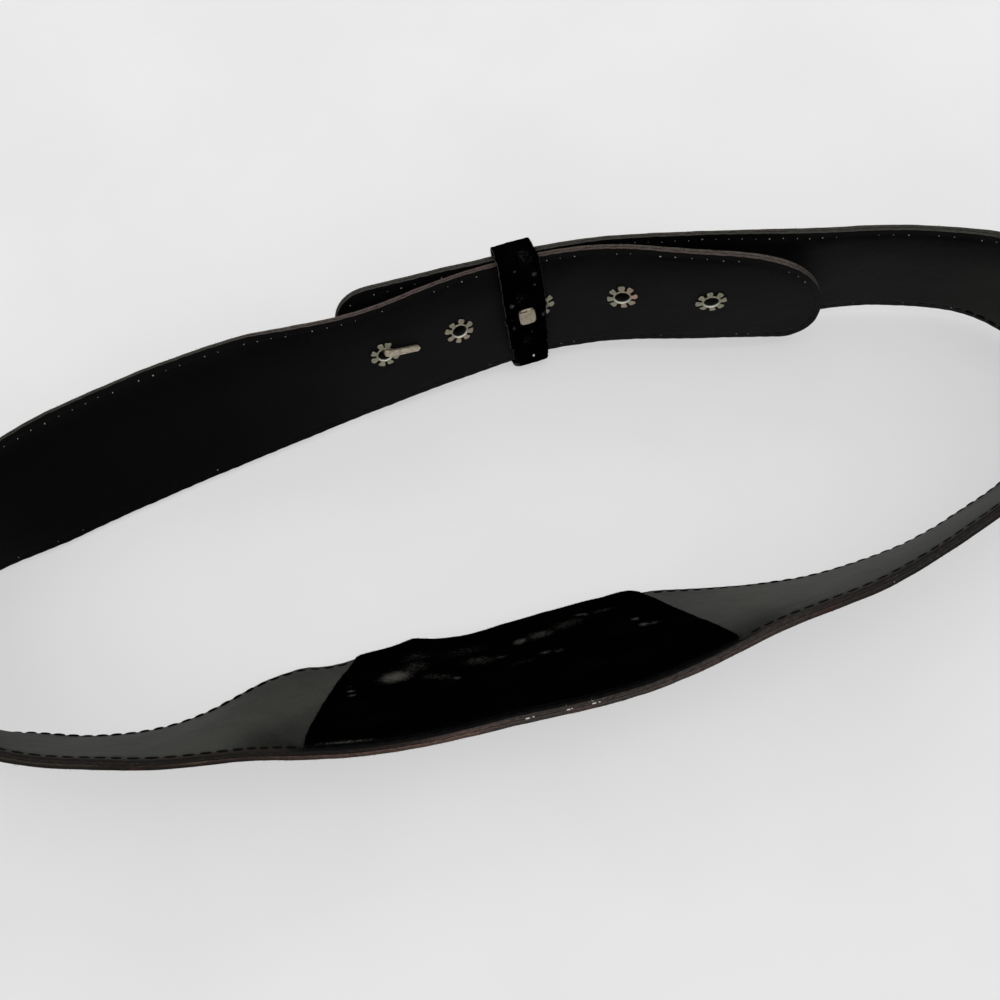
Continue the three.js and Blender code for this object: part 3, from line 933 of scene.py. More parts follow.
@dataclass
class Sheet:
    """A flat piece of leather or metal, which is cut, thickened, rounded, punched and bent."""

    name: str
    grid: Array
    inner: float
    outer: float
    rounding: float = 0.25
    segments: int = 2
    holes: Sequence[tuple[float, float, float]] = ()
    plain_ends: bool = False

    def flat(self) -> Mesh:
        """Cut, thicken and round off the flat piece.

        Returns:
            Its mesh in millimetres, with the cut edge in the second slot.
        """
        columns, lines = self.grid.shape[0] - 1, self.grid.shape[1] - 1
        bm = bmesh.new()
        bmesh.ops.create_grid(bm, x_segments=columns, y_segments=lines, size=1.0)
        for vert in bm.verts:
            column = round((vert.co.x + 1) / 2 * columns)
            line = round((vert.co.y + 1) / 2 * lines)
            vert.co = (*self.grid[column, line], 0.0)
        bmesh.ops.solidify(bm, geom=bm.faces[:], thickness=self.outer - self.inner)
        lowest = min(vert.co.z for vert in bm.verts)
        bmesh.ops.translate(bm, verts=bm.verts[:], vec=(0, 0, self.inner - lowest))
        bmesh.ops.recalc_face_normals(bm, faces=bm.faces[:])
        round_off(bm, sharp_edges(bm, SHARP), self.rounding, self.segments, clamp=True)
        mesh = mesh_of(self.name, bm)
        if self.holes:
            mesh = self._punched(mesh)
        normals = np.empty(len(mesh.polygons) * 3)
        mesh.polygons.foreach_get("normal", normals)
        normals = np.abs(normals.reshape(-1, 3))
        edge = normals[:, 2] < 0.72
        if self.plain_ends:
            edge &= normals[:, 0] < 0.5
        mesh.polygons.foreach_set("material_index", edge.astype(np.int32))
        return mesh

    def _punched(self, mesh: Mesh) -> Mesh:
        """Punch the round holes.

        Args:
            mesh: The flat mesh.

        Returns:
            The mesh with its holes cut through.
        """
        bm = bmesh.new()
        depth = 4 * (self.outer - self.inner)
        for along, height, radius in self.holes:
            place = Matrix.Translation((along, height, (self.inner + self.outer) / 2))
            bmesh.ops.create_cone(
                bm, cap_ends=True, segments=40, radius1=radius, radius2=radius, depth=depth, matrix=place
            )
        cutter = bpy.data.objects.new("punch", mesh_of("punch", bm))
        blank = bpy.data.objects.new("blank", mesh)
        for thing in (cutter, blank):
            bpy.context.scene.collection.objects.link(thing)
        cut = blank.modifiers.new("holes", "BOOLEAN")
        cut.operation = "DIFFERENCE"
        cut.solver = "EXACT"
        cut.object = cutter
        graph = bpy.context.evaluated_depsgraph_get()
        punched = bpy.data.meshes.new_from_object(blank.evaluated_get(graph))
        for thing in (cutter, blank):
            bpy.data.objects.remove(thing)
        punched.name = self.name
        return punched

    def make(
        self,
        bend: Move,
        face: Material,
        edge: Material,
        shape: Optional[Move] = None,
        marks: Sequence["Mark"] = (),
    ) -> Piece:
        """Move the piece into place and dress it.

        Args:
            bend: Takes flat places to places in the loop, in millimetres.
            face: Finish of the two faces.
            edge: Finish of the cut edge.
            shape: Moves flat places a little before they are bent.
            marks: Spots where the leather is rubbed.

        Returns:
            The piece, with its place in its mesh.
        """
        mesh = self.flat()
        flat = points_of(mesh)
        note(mesh, PLACE_ATTRIBUTE, "FLOAT_VECTOR", flat)
        if marks:
            note(mesh, WEAR_AND_SHADE_ATTRIBUTE, "FLOAT", rubbed(marks, flat))
        set_points(mesh, bend(shape(flat) if shape else flat))
        return linked(self.name, mesh, face, edge)


@dataclass(frozen=True)
class StrapSizes:
    """Sizes of the strap, in millimetres."""

    width: float = 45.0
    length: float = 999.0
    lining: float = 1.32
    suede_from: float = 1.46
    thickness: float = 3.0
    tip_start: float = 0.05
    tip_lower: tuple[float, float] = (10.0, 11.6)
    tip_upper: tuple[float, float] = (44.0, 33.4)
    hook_corner: tuple[float, float] = (12.0, 12.0)
    step: float = 0.86
    tip_steps: int = 70
    corner_steps: int = 16
    rows: tuple[float, ...] = (0.0, 1.3, 2.1, 2.7, 3.3, 4.3, 7.0, 12.0, 17.0)

    @staticmethod
    def _cut(distance: Array, corner: tuple[float, float]) -> Array:
        """Return how far a rounded corner cuts in at a distance from the end."""
        inset = np.clip(1 - distance / corner[0], 0, 1)
        return corner[1] * (1 - np.sqrt(1 - inset**2))

    def low(self, along: Array) -> Array:
        """Return the height of the lower edge."""
        tip = self._cut(along, self.tip_lower)
        return np.maximum(tip, self._cut(self.length - along, self.hook_corner))

    def high(self, along: Array) -> Array:
        """Return the height of the upper edge."""
        tip = self._cut(along, self.tip_upper)
        return self.width - np.maximum(tip, self._cut(self.length - along, self.hook_corner))

    def inside(self, flat: Array) -> Array:
        """Return how far flat places lie inside the nearer long edge."""
        low, high = self.low(flat[:, 0]), self.high(flat[:, 0])
        return np.minimum(flat[:, 1] - low, high - flat[:, 1])

    def stations(self) -> Array:
        """Space the strap's stations.

        Returns:
            Distances along the strap, close together round its ends.
        """
        tip = 1 - np.cos(np.linspace(0, math.pi / 2, self.tip_steps))
        start, end = self.tip_upper[0], self.length - self.hook_corner[0]
        middle = np.linspace(start, end, round((end - start) / self.step) + 1)
        corner = np.sin(np.linspace(0, math.pi / 2, self.corner_steps))
        last = end + self.hook_corner[0] * corner
        first = self.tip_start + (start - self.tip_start) * tip
        return np.concatenate([first[:-1], middle, last[1:]])

    def grid(self) -> Array:
        """Lay out the strap.

        Returns:
            Flat places, a column for each station, with rows closest at the edges.
        """
        along = self.stations()
        low, high = self.low(along), self.high(along)
        half = (high - low) / 2
        rows = np.array(self.rows)
        scale = np.minimum(1.0, half / (rows[-1] + 2))[:, None]
        lower = low[:, None] + rows * scale
        upper = (high[:, None] - rows * scale)[:, ::-1]
        heights = np.hstack([lower, (low + half)[:, None], upper])
        return np.stack([np.broadcast_to(along[:, None], heights.shape), heights], axis=2)

    def outline(self) -> Array:
        """Trace the strap's outline.

        Returns:
            Flat places round the strap, the lower edge first.
        """
        along = self.stations()
        lower = np.stack([along, self.low(along)], axis=1)[::-1]
        upper = np.stack([along, self.high(along)], axis=1)
        return np.vstack([lower, upper])


STRAP = StrapSizes()


@dataclass(frozen=True)
class EdgeWear:
    """How the strap's edges have changed: skived along the top, and curled at the foot."""

    skive_reach: float = 3.2
    skived: tuple[tuple[float, float, float], ...] = (
        (0, 0.2, 0.3), (20, 0.4, 0.3), (36, 0.75, 0.45), (105, 0.75, 0.5), (116, 0.5, 0.95),
        (160, 0.4, 0.95), (170, 0.55, 0.7), (185, 1.4, 0.0), (330, 1.4, 0.0), (370, 0.25, 0.0),
        (490, 0.2, 0.0), (510, -0.1, 0.0), (590, -0.1, 0.0), (640, 0.25, 0.0), (780, 0.3, 0.0),
        (800, 1.05, 0.0), (852, 1.05, 0.0), (875, 0.8, 0.65), (894, 0.6, 0.8), (912, 0.6, 0.8),
        (928, 0.0, 1.1), (949, 0.5, 0.6), (960, 1.1, 0.0), (999, 1.1, 0.0),
    )
    curl_reach: float = 8.0
    curled: tuple[tuple[float, float], ...] = (
        (80, 0.0), (84, 0.35), (91, 0.8), (98, 0.85), (107, 0.5), (114, 0.1), (120, 0.0), (340, 0.0),
        (352, 1.2), (360, 1.3), (364, 0.8), (368, 0.4), (374, 0.1), (386, 0.3), (400, 0.45), (412, 0.5),
        (424, 0.85), (431, 0.65), (438, 0.2), (443, -0.2), (448, -0.4), (453.5, -0.5), (456.5, -0.1),
        (460, 0.9), (463, 1.3), (466.5, 1.5), (470.5, 1.25), (473, 0.35), (482, 0.2), (490, -0.45),
        (494, -0.1), (498, 0.5), (501.5, 0.8), (505, 1.1), (509, 0.95), (513, 0.55), (517, 0.1),
        (522, 0.0), (531, 0.1), (538, 0.55), (542, 0.62), (547.5, 0.8), (552, 0.75), (557.5, -0.1),
        (560.4, -0.25), (562.3, 0.0), (564.3, 0.6), (567.5, 0.25), (572, 0.0), (588, 0.1), (598, 0.5),
        (616, 0.5), (632, 0.3), (644, 0.6), (654, 0.95), (668, 0.75), (676, 0.15), (682, 0.0),
    )

    def moved(self, flat: Array) -> Array:
        """Skive and curl the strap's edges.

        Args:
            flat: Flat places.

        Returns:
            The places with their worn depths.
        """
        along, height, depth = flat.T
        knots = np.array(self.skived)
        inner, outer = (np.interp(along, knots[:, 0], knots[:, k]) for k in (1, 2))
        through = np.clip(depth / STRAP.thickness, 0, 1)
        inside = STRAP.high(along) - height
        near_edge = bell(inside, 0.0, self.skive_reach)
        curl = np.interp(along, *np.array(self.curled).T)
        foot = bell(np.maximum(height, 0), 0.0, self.curl_reach)
        result = flat.copy()
        result[:, 2] += near_edge * (inner * (1 - through) - outer * through) + curl * foot
        return result


WEAR = EdgeWear()


def wander(along: Array, seed: int, lengths: Sequence[float]) -> Array:
    """Return a gentle random wave along the strap, within about 1 either way.

    Args:
        along: Distances in millimetres.
        seed: Chooses the wave.
        lengths: Wave lengths in millimetres that it is made of.

    Returns:
        The wave's value at each distance.
    """
    rng = random.Random(seed)
    waves = sum(np.sin(2 * math.pi * along / length + rng.uniform(0, 6.3)) for length in lengths)
    return waves / len(lengths)


@dataclass
class EdgeSeam:
    """The line of stitches that runs round the strap inside its edge."""

    margin: float = 2.5
    far_margin: float = 2.1
    foot_margin: float = 1.0
    level: tuple[float, ...] = (434.0, 452.0, 596.0, 608.0)
    near_side: tuple[float, ...] = (335.0, 355.0, 765.0, 785.0)
    pitch: float = 4.3
    stitch: tuple[float, ...] = (3.45, 0.95, 0.6)
    reach: tuple[float, ...] = (1.65, 0.85)
    band: float = 8.0

    def __post_init__(self) -> None:
        """Space the stitches evenly along the seam."""
        outline = STRAP.outline()
        ring = np.vstack([outline[-1], outline, outline[0]])
        heading = unit(ring[2:] - ring[:-2])
        inward = np.stack([heading[:, 1], -heading[:, 0]], axis=1)
        line = outline + inward * self.margin_at(outline)[:, None]
        line = np.vstack([line, line[0]])
        lengths = lengths_along(line)
        count = round(lengths[-1] / self.pitch)
        middles = (np.arange(count) + 0.5) * lengths[-1] / count
        self.places = self._along(line, lengths, middles)
        self.headings = unit(self._along(line, lengths, middles + 0.5) - self.places)
        self.holes = self._along(line, lengths, middles - 0.5 * lengths[-1] / count)
        self.tree = KDTree(count)
        for index, (along, height) in enumerate(self.places):
            self.tree.insert((along, height, 0.0), index)
        self.tree.balance()

    @staticmethod
    def _along(line: Array, lengths: Array, at: Array) -> Array:
        """Return the points at some lengths along a line."""
        return np.stack([np.interp(at, lengths, line[:, k]) for k in (0, 1)], axis=1)

    def margin_at(self, flat: Array) -> Array:
        """Say how far inside the outline the seam runs.

        Args:
            flat: Flat places.

        Returns:
            The margin at each, smallest at the foot of the near side.
        """
        near = np.interp(flat[:, 0], self.near_side, (0, 1, 1, 0))
        lower = flat[:, 1] < STRAP.width / 2
        margin = self.far_margin + (self.margin - self.far_margin) * near
        return margin - lower * near * (margin - self.foot_margin)

    def on_near_side(self, places: Array) -> Array:
        """Return which places lie on the near side of the loop."""
        return (places[:, 0] > self.near_side[0]) & (places[:, 0] < self.near_side[-1])

    def pull(self, flat: Array) -> Array:
        """Say how strongly the stitches pull.

        Args:
            flat: Flat places.

        Returns:
            The nearest stitch's pull at each, from 0 to 1.
        """
        pull = np.zeros(len(flat))
        for row in np.nonzero(STRAP.inside(flat) < self.band)[0]:
            _, index, _ = self.tree.find((flat[row, 0], flat[row, 1], 0.0))
            offset = flat[row, :2] - self.places[index]
            heading = self.headings[index]
            lengthwise = (offset @ heading) / self.reach[0]
            crosswise = (offset[0] * heading[1] - offset[1] * heading[0]) / self.reach[1]
            pull[row] = math.exp(-(lengthwise**4) - crosswise**2)
        return pull

    def stitches(
        self, name: str, path: StrapPath, depth: float, finish: Material, keep: Array
    ) -> Piece:
        """Sew the stitches of one side.

        Args:
            name: The piece's name.
            path: The loop that the strap stands in.
            depth: How deep in the strap the stitches' middles lie.
            finish: The thread's finish.
            keep: Which stitches show on this side.

        Returns:
            The stitches as one piece.
        """
        bm = bmesh.new()
        bmesh.ops.create_uvsphere(bm, u_segments=6, v_segments=7, radius=0.5)
        bmesh.ops.rotate(bm, verts=bm.verts[:], matrix=Matrix.Rotation(math.pi / 2, 3, "Y"))
        bmesh.ops.scale(bm, verts=bm.verts[:], vec=self.stitch)
        rng = random.Random(11)
        places = []
        slim = np.where(self.on_near_side(self.places), 1.0, 0.7)
        for (along, height), heading, width in zip(self.places[keep], self.headings[keep], slim[keep]):
            turn = math.atan2(heading[1], heading[0]) + rng.gauss(0, 0.035)
            at_foot = width == 1 and depth < 1 and height < STRAP.width / 2
            raised = at_foot * float(np.interp(along, self.level, (0.8, 0, 0, 0.5)))
            sunk = depth + 0.3 * (width < 1 and depth < 1) - 0.22 * raised + rng.gauss(0, 0.03)
            place = Matrix.Translation((along, height, sunk))
            width *= 1 - 0.5 * (at_foot - raised)
            sizes = (rng.uniform(0.9, 1.04), rng.uniform(0.9, 1.1) * width, 1.0 + 0.5 * raised)
            size = Matrix.Diagonal((*sizes, 1.0))
            places.append(place @ Matrix.Rotation(turn, 4, "Z") @ size)
        return scattered(name, bm, places, path.lay, finish)

    def pips(self, name: str, path: StrapPath, finish: Material) -> Piece:
        """Dot small pale specks at the stitch holes of the far side.

        Args:
            name: The piece's name.
            path: The loop that the strap stands in.
            finish: The pips' finish.

        Returns:
            The pips as one piece.
        """
        rng = random.Random(17)
        places = []
        for along, height in self.holes[~self.on_near_side(self.holes)]:
            share = 0.80 if height > STRAP.width / 2 else 0.18
            if rng.random() > share or along < 11:
                continue
            size = rng.uniform(0.14, 0.27)
            at = (along + rng.gauss(0, 0.12), height + rng.gauss(0, 0.12), -0.06)
            places.append(placed(at, (size * rng.uniform(0.8, 1.5), size, 0.14)))
        return scattered(name, ball(1), places, path.lay, finish)


def scattered(
    name: str,
    pattern: BMesh,
    places: Sequence[Matrix],
    bend: Move,
    finish: Material,
) -> Piece:
    """Join many copies of one small shape into a piece, bent into place.

    Args:
        name: The piece's name.
        pattern: The small shape, which is used up.
        places: Flat places of the copies, in millimetres.
        bend: Takes flat places to places in the loop.
        finish: The copies' finish.

    Returns:
        The joined piece.
    """
    pattern.verts.index_update()
    corners = np.array([(*vert.co, 1.0) for vert in pattern.verts])
    faces = [[vert.index for vert in face.verts] for face in pattern.faces]
    pattern.free()
    flat = np.vstack([(corners @ np.array(place).T)[:, :3] for place in places])
    joined = [[i + k * len(corners) for i in face] for k in range(len(places)) for face in faces]
    mesh = bpy.data.meshes.new(name)
    mesh.from_pydata(flat.tolist(), [], joined)
    note(mesh, PLACE_ATTRIBUTE, "FLOAT_VECTOR", flat)
    set_points(mesh, bend(flat))
    return linked(name, mesh, finish)


def fibres(
    name: str,
    roots: Sequence[tuple[Sequence[float], Sequence[float]]],
    lengths: tuple[float, float],
    bend: Move,
    finish: Material,
) -> Piece:
    """Make frayed fibres that stand out from a cut edge.

    Args:
        name: The piece's name.
        roots: Flat places of the fibres' feet, each with the way the fibre leans.
        lengths: Shortest and longest fibre in millimetres.
        bend: Takes flat places to places in the loop.
        finish: The fibres' finish.

    Returns:
        The fibres as one piece.
    """
    bm = bmesh.new()
    bmesh.ops.create_cone(bm, cap_ends=True, segments=3, radius1=1.0, radius2=0.12, depth=1.0)
    bmesh.ops.translate(bm, verts=bm.verts[:], vec=(0, 0, 0.4))
    rng = random.Random(name)
    places = []
    for foot, way in roots:
        lean = Vector([part + rng.gauss(0, 0.45) for part in way])
        thick = rng.uniform(0.03, 0.06)
        size = Matrix.Diagonal((thick, thick, rng.uniform(*lengths), 1.0))
        turn = lean.to_track_quat("Z", "Y").to_matrix().to_4x4()
        places.append(Matrix.Translation(foot) @ turn @ size)
    return scattered(name, bm, places, bend, finish)


@dataclass(frozen=True)
class Mark:
    """A rubbed spot on leather: its place, its half length and half width, and its strength."""

    along: float
    height: float
    length: float
    width: float
    strength: float
    turn: float = 0.0


def rubbed(marks: Sequence[Mark], flat: Array) -> Array:
    """Say how rubbed leather is.

    Args:
        marks: Its rubbed spots.
        flat: Flat places.

    Returns:
        The wear at each, from 0 to 1.
    """
    total = np.zeros(len(flat))
    for mark in marks:
        across, up = flat[:, 0] - mark.along, flat[:, 1] - mark.height
        turn = math.radians(mark.turn)
        x = (across * math.cos(turn) + up * math.sin(turn)) / mark.length
        y = (up * math.cos(turn) - across * math.sin(turn)) / mark.width
        total = np.maximum(total, mark.strength * np.exp(-(x**2) - y**2))
    return total


@dataclass
class Strap:
    """The strap: a suede layer and a lining, sewn together round their edge."""

    path: StrapPath
    seam: EdgeSeam
    eyelets: Sequence[tuple[float, float]]
    hole: float = 2.78
    dimple: float = 0.34
    puff: float = 0.16
    nip: float = 0.10
    buckle: float = 0.14
    waver: float = 0.11
    edge_fibres: int = 5200
    tuft_strands: int = 26
    edge_tones: Tones = (
        (0.00, (0.085, 0.075, 0.066)), (0.09, (0.085, 0.068, 0.056)), (0.13, (0.098, 0.070, 0.069)),
        (0.165, (0.095, 0.080, 0.072)), (0.20, (0.064, 0.062, 0.050)), (0.31, (0.042, 0.040, 0.034)),
        (0.335, (0.030, 0.022, 0.019)), (0.397, (0.038, 0.031, 0.024)), (0.405, (0.014, 0.011, 0.009)),
        (0.421, (0.036, 0.025, 0.018)), (0.4255, (0.090, 0.062, 0.040)), (0.429, (0.034, 0.023, 0.020)),
        (0.432, (0.060, 0.040, 0.046)), (0.436, (0.034, 0.023, 0.020)), (0.455, (0.070, 0.045, 0.036)),
        (0.48, (0.115, 0.075, 0.060)), (0.50, (0.150, 0.096, 0.080)), (0.51, (0.075, 0.055, 0.050)),
        (0.525, (0.060, 0.054, 0.049)), (0.532, (0.092, 0.060, 0.057)), (0.539, (0.080, 0.056, 0.053)),
        (0.541, (0.064, 0.059, 0.054)), (0.57, (0.085, 0.062, 0.055)), (0.59, (0.062, 0.048, 0.043)),
        (0.605, (0.045, 0.036, 0.032)), (0.608, (0.085, 0.026, 0.028)), (0.611, (0.040, 0.034, 0.030)),
        (0.62, (0.028, 0.024, 0.022)), (0.75, (0.022, 0.019, 0.018)), (0.80, (0.045, 0.045, 0.038)),
        (0.88, (0.062, 0.055, 0.045)), (1.00, (0.055, 0.052, 0.045)),
    )
    lining_tones: Tones = (
        (0.00, (0.080, 0.066, 0.060)), (0.09, (0.080, 0.060, 0.052)), (0.165, (0.085, 0.066, 0.060)),
        (0.20, (0.055, 0.053, 0.042)), (0.31, (0.036, 0.034, 0.029)), (0.34, (0.022, 0.018, 0.016)),
        (0.47, (0.012, 0.010, 0.009)), (0.485, (0.030, 0.022, 0.020)), (0.50, (0.110, 0.075, 0.065)),
        (0.52, (0.055, 0.048, 0.043)), (0.57, (0.060, 0.050, 0.045)), (0.62, (0.022, 0.019, 0.018)),
        (0.75, (0.020, 0.017, 0.016)), (0.80, (0.045, 0.045, 0.038)), (1.00, (0.050, 0.048, 0.042)),
    )
    # Lighter from 0.335 to 0.74 of the length, the near side: partly faded, partly a painted reflection of
    # the sky that its upturned face catches.
    face_tones: Tones = (
        (0.00, (0.0078, 0.0078, 0.0084)), (0.10, (0.0074, 0.0074, 0.0078)),
        (0.14, (0.0060, 0.0060, 0.0062)), (0.20, (0.0022, 0.0022, 0.0022)),
        (0.30, (0.0013, 0.0013, 0.0013)), (0.335, (0.0060, 0.0060, 0.0056)),
        (0.365, (0.0215, 0.0212, 0.0188)), (0.385, (0.0300, 0.0300, 0.0260)),
        (0.405, (0.0290, 0.0294, 0.0254)), (0.42, (0.0370, 0.0374, 0.0325)),
        (0.44, (0.0362, 0.0370, 0.0320)), (0.47, (0.0330, 0.0336, 0.0298)),
        (0.58, (0.0430, 0.0445, 0.0398)), (0.60, (0.0455, 0.0465, 0.0405)),
        (0.65, (0.0405, 0.0410, 0.0358)), (0.74, (0.0355, 0.0356, 0.0320)),
        (0.80, (0.0085, 0.0085, 0.0085)), (1.00, (0.0075, 0.0075, 0.0075)),
    )
    seam_tones: Tones = (
        (0.00, (0.0038, 0.0034, 0.0034)), (0.33, (0.0020, 0.0018, 0.0018)),
        (0.37, (0.012, 0.009, 0.0075)), (0.45, (0.012, 0.009, 0.0075)), (0.457, (0.002, 0.002, 0.002)),
        (0.582, (0.002, 0.002, 0.002)), (0.59, (0.012, 0.010, 0.009)), (0.76, (0.012, 0.010, 0.009)),
        (0.80, (0.0030, 0.0030, 0.0030)),
    )
    flecks: tuple[tuple[float, float, float], ...] = (
        (518.0, 1.40, 0.75), (519.6, 1.30, 0.32), (529.6, 1.40, 0.62), (530.6, 1.30, 0.30),
        (537.2, 1.20, 0.80), (538.8, 1.15, 0.42), (627.3, 2.20, 0.20),
    )
    creases: tuple[Mark, ...] = (
        Mark(431.5, 20.1, 5.0, 0.35, 0.30, -46), Mark(438.3, 14.0, 4.4, 0.30, 0.26, -37),
        Mark(446.1, 9.6, 5.0, 0.30, 0.22, -22), Mark(620.0, 30.0, 16.0, 0.5, 0.12, -20),
    )
    tufts: tuple[tuple[float, float], ...] = ((517.9, 44.6), (529.3, 44.5), (536.9, 44.8), (540.5, 44.7))

    def _holes(self) -> list[tuple[float, float, float]]:
        """Return the holes for the eyelets."""
        return [(along, height, self.hole) for along, height in self.eyelets]

    def _worn_outline(self, flat: Array, seed: int) -> Array:
        """Let the edges wander a little, as an edge cut by hand does.

        Args:
            flat: Flat places.
            seed: Chooses the waves.

        Returns:
            The moved places.
        """
        moved = flat.copy()
        middle = STRAP.width / 2
        side = np.clip((np.abs(flat[:, 1] - middle) - 14) / (middle - 14), 0, 1)
        upper = flat[:, 1] > middle
        waves = (wander(flat[:, 0], seed, (31, 17, 7.3)), wander(flat[:, 0], seed + 1, (27, 14, 6.1)))
        moved[:, 1] += side * self.waver * np.where(upper, waves[0], waves[1])
        return moved

    def _shape_lining(self, flat: Array) -> Array:
        """Pull the lining in at its stitches and puff it up between them.

        Args:
            flat: Flat places.

        Returns:
            The moved places.
        """
        pull = self.seam.pull(flat)
        moved = self._worn_outline(flat, 3)
        inside = STRAP.inside(flat)
        face = np.clip(1 - flat[:, 2] / STRAP.lining, 0, 1)
        seam = bell(inside, self.seam.margin_at(flat), 2.2)
        sewn = np.where(self.seam.on_near_side(flat), 1.0, 0.5)
        moved[:, 2] += face * sewn * (self.dimple * pull - self.puff * (1 - pull) * seam)
        phase = 2 * math.pi * flat[:, 0] / self.seam.pitch
        toward = np.where(flat[:, 1] > STRAP.width / 2, -1.0, 1.0)
        moved[:, 1] += toward * bell(inside, 0.0, 1.2) * self.nip * (0.5 + 0.5 * np.cos(phase))
        waves = wander(flat[:, 0] + 0.9 * flat[:, 1], 21, (61, 37, 23))
        moved[:, 2] += face * self.buckle * waves * np.clip(inside / 8, 0, 1)
        return moved

    def _shape_suede(self, flat: Array) -> Array:
        """Pull the suede in at its stitches and soften its outer face.

        Args:
            flat: Flat places.

        Returns:
            The moved places.
        """
        pull = self.seam.pull(flat)
        moved = self._worn_outline(flat, 3)
        span = STRAP.thickness - STRAP.suede_from
        face = np.clip((flat[:, 2] - STRAP.suede_from) / span, 0, 1)
        moved[:, 2] -= face * self.dimple * pull
        moved[:, 2] += face * 0.10 * wander(flat[:, 0] - 1.3 * flat[:, 1], 33, (53, 29, 13))
        return moved

    def build(self) -> None:
        """Build the two layers."""
        grid = STRAP.grid()
        nap = Suede("black_suede").make()
        raw = CutEdge("raw_suede_edge", STRAP.length, self.edge_tones, shaded_depths=(1.8, 2.4)).make()
        lining_raw = CutEdge("raw_lining_edge", STRAP.length, self.lining_tones, shaded_depths=(0.95, 0.45)).make()
        skin = SmoothLeather("black_lining", STRAP.length, self.face_tones, self.seam_tones).make()
        outer = Sheet("suede_strap", grid, STRAP.suede_from, STRAP.thickness, 0.28, holes=self._holes())
        present(outer.make(self.path.lay, nap, raw, self._shape_suede), Slot.SUEDE, "strap_suede")
        inner = Sheet("leather_lining", grid, 0.0, STRAP.lining, 0.22, holes=self._holes())
        lining = inner.make(self.path.lay, skin, lining_raw, self._shape_lining, self.creases)
        present(lining, Slot.LINING, "strap_lining")

    def sew(self, hidden: Callable[[Array], Array]) -> None:
        """Sew the stitches of both sides.

        Args:
            hidden: Says which stitch places on the lining lie under another piece.
        """
        thread = Thread("black_thread", (0.0018, 0.0018, 0.0018), (0.001, 0.001, 0.001)).make()
        everywhere = np.ones(len(self.seam.places), bool)
        inner = self.seam.stitches("lining_stitches", self.path, 0.02, thread, ~hidden(self.seam.places))
        present(inner, Slot.LINING)
        outer = self.seam.stitches("suede_stitches", self.path, 2.86, thread, everywhere)
        present(outer, Slot.SUEDE)
        pale = Fluff("pale_hole_dots", (0.25, 0.245, 0.21), (0.11, 0.11, 0.095)).make()
        present(self.seam.pips("stitch_hole_dots", self.path, pale), Slot.LINING)

    def fray(self) -> None:
        """Add the frayed fibres along the strap's edges."""
        rng = random.Random(61)
        roots = []
        for _ in range(self.edge_fibres):
            along = rng.uniform(1.0, STRAP.length - 1.0)
            near = self.seam.near_side[0] < along < self.seam.near_side[-1]
            if not near and rng.random() < 0.5:
                continue
            high = float(STRAP.high(np.array([along]))[0])
            depth = rng.uniform(1.6, 3.0)
            way = (rng.gauss(0, 0.5), 1.0, 1.1 if near else 0.2)
            roots.append(((along, high - rng.uniform(0.0, 0.25), depth), way))
        fringe = Fluff("strap_fibres", (0.050, 0.042, 0.036), (0.018, 0.016, 0.015)).make()
        present(fibres("frayed_edge", roots, (0.35, 0.85), self.path.lay, fringe), Slot.SUEDE)
        lint = []
        for along, height in self.tufts:
            for _ in range(self.tuft_strands):
                foot = (along + rng.gauss(0, 0.55), height + rng.gauss(0, 0.14), rng.uniform(0.1, 0.5))
                lint.append((foot, (rng.gauss(0, 1), 0.5, -0.6)))
        white = Fluff("white_lint", (0.45, 0.44, 0.42), (0.75, 0.74, 0.72)).make()
        present(fibres("lint_on_edge", lint, (0.2, 0.6), self.path.lay, white), Slot.LINING)
        places = [
            placed((along, 44.98, depth), (length, 0.10, 0.13 + 0.16 * length))
            for along, depth, length in self.flecks
        ]
        chalk = Fluff("pale_flecks", (0.60, 0.59, 0.57), (0.34, 0.33, 0.31)).make()
        present(scattered("flecks_on_edge", ball(2), places, self.path.lay, chalk), Slot.SUEDE)


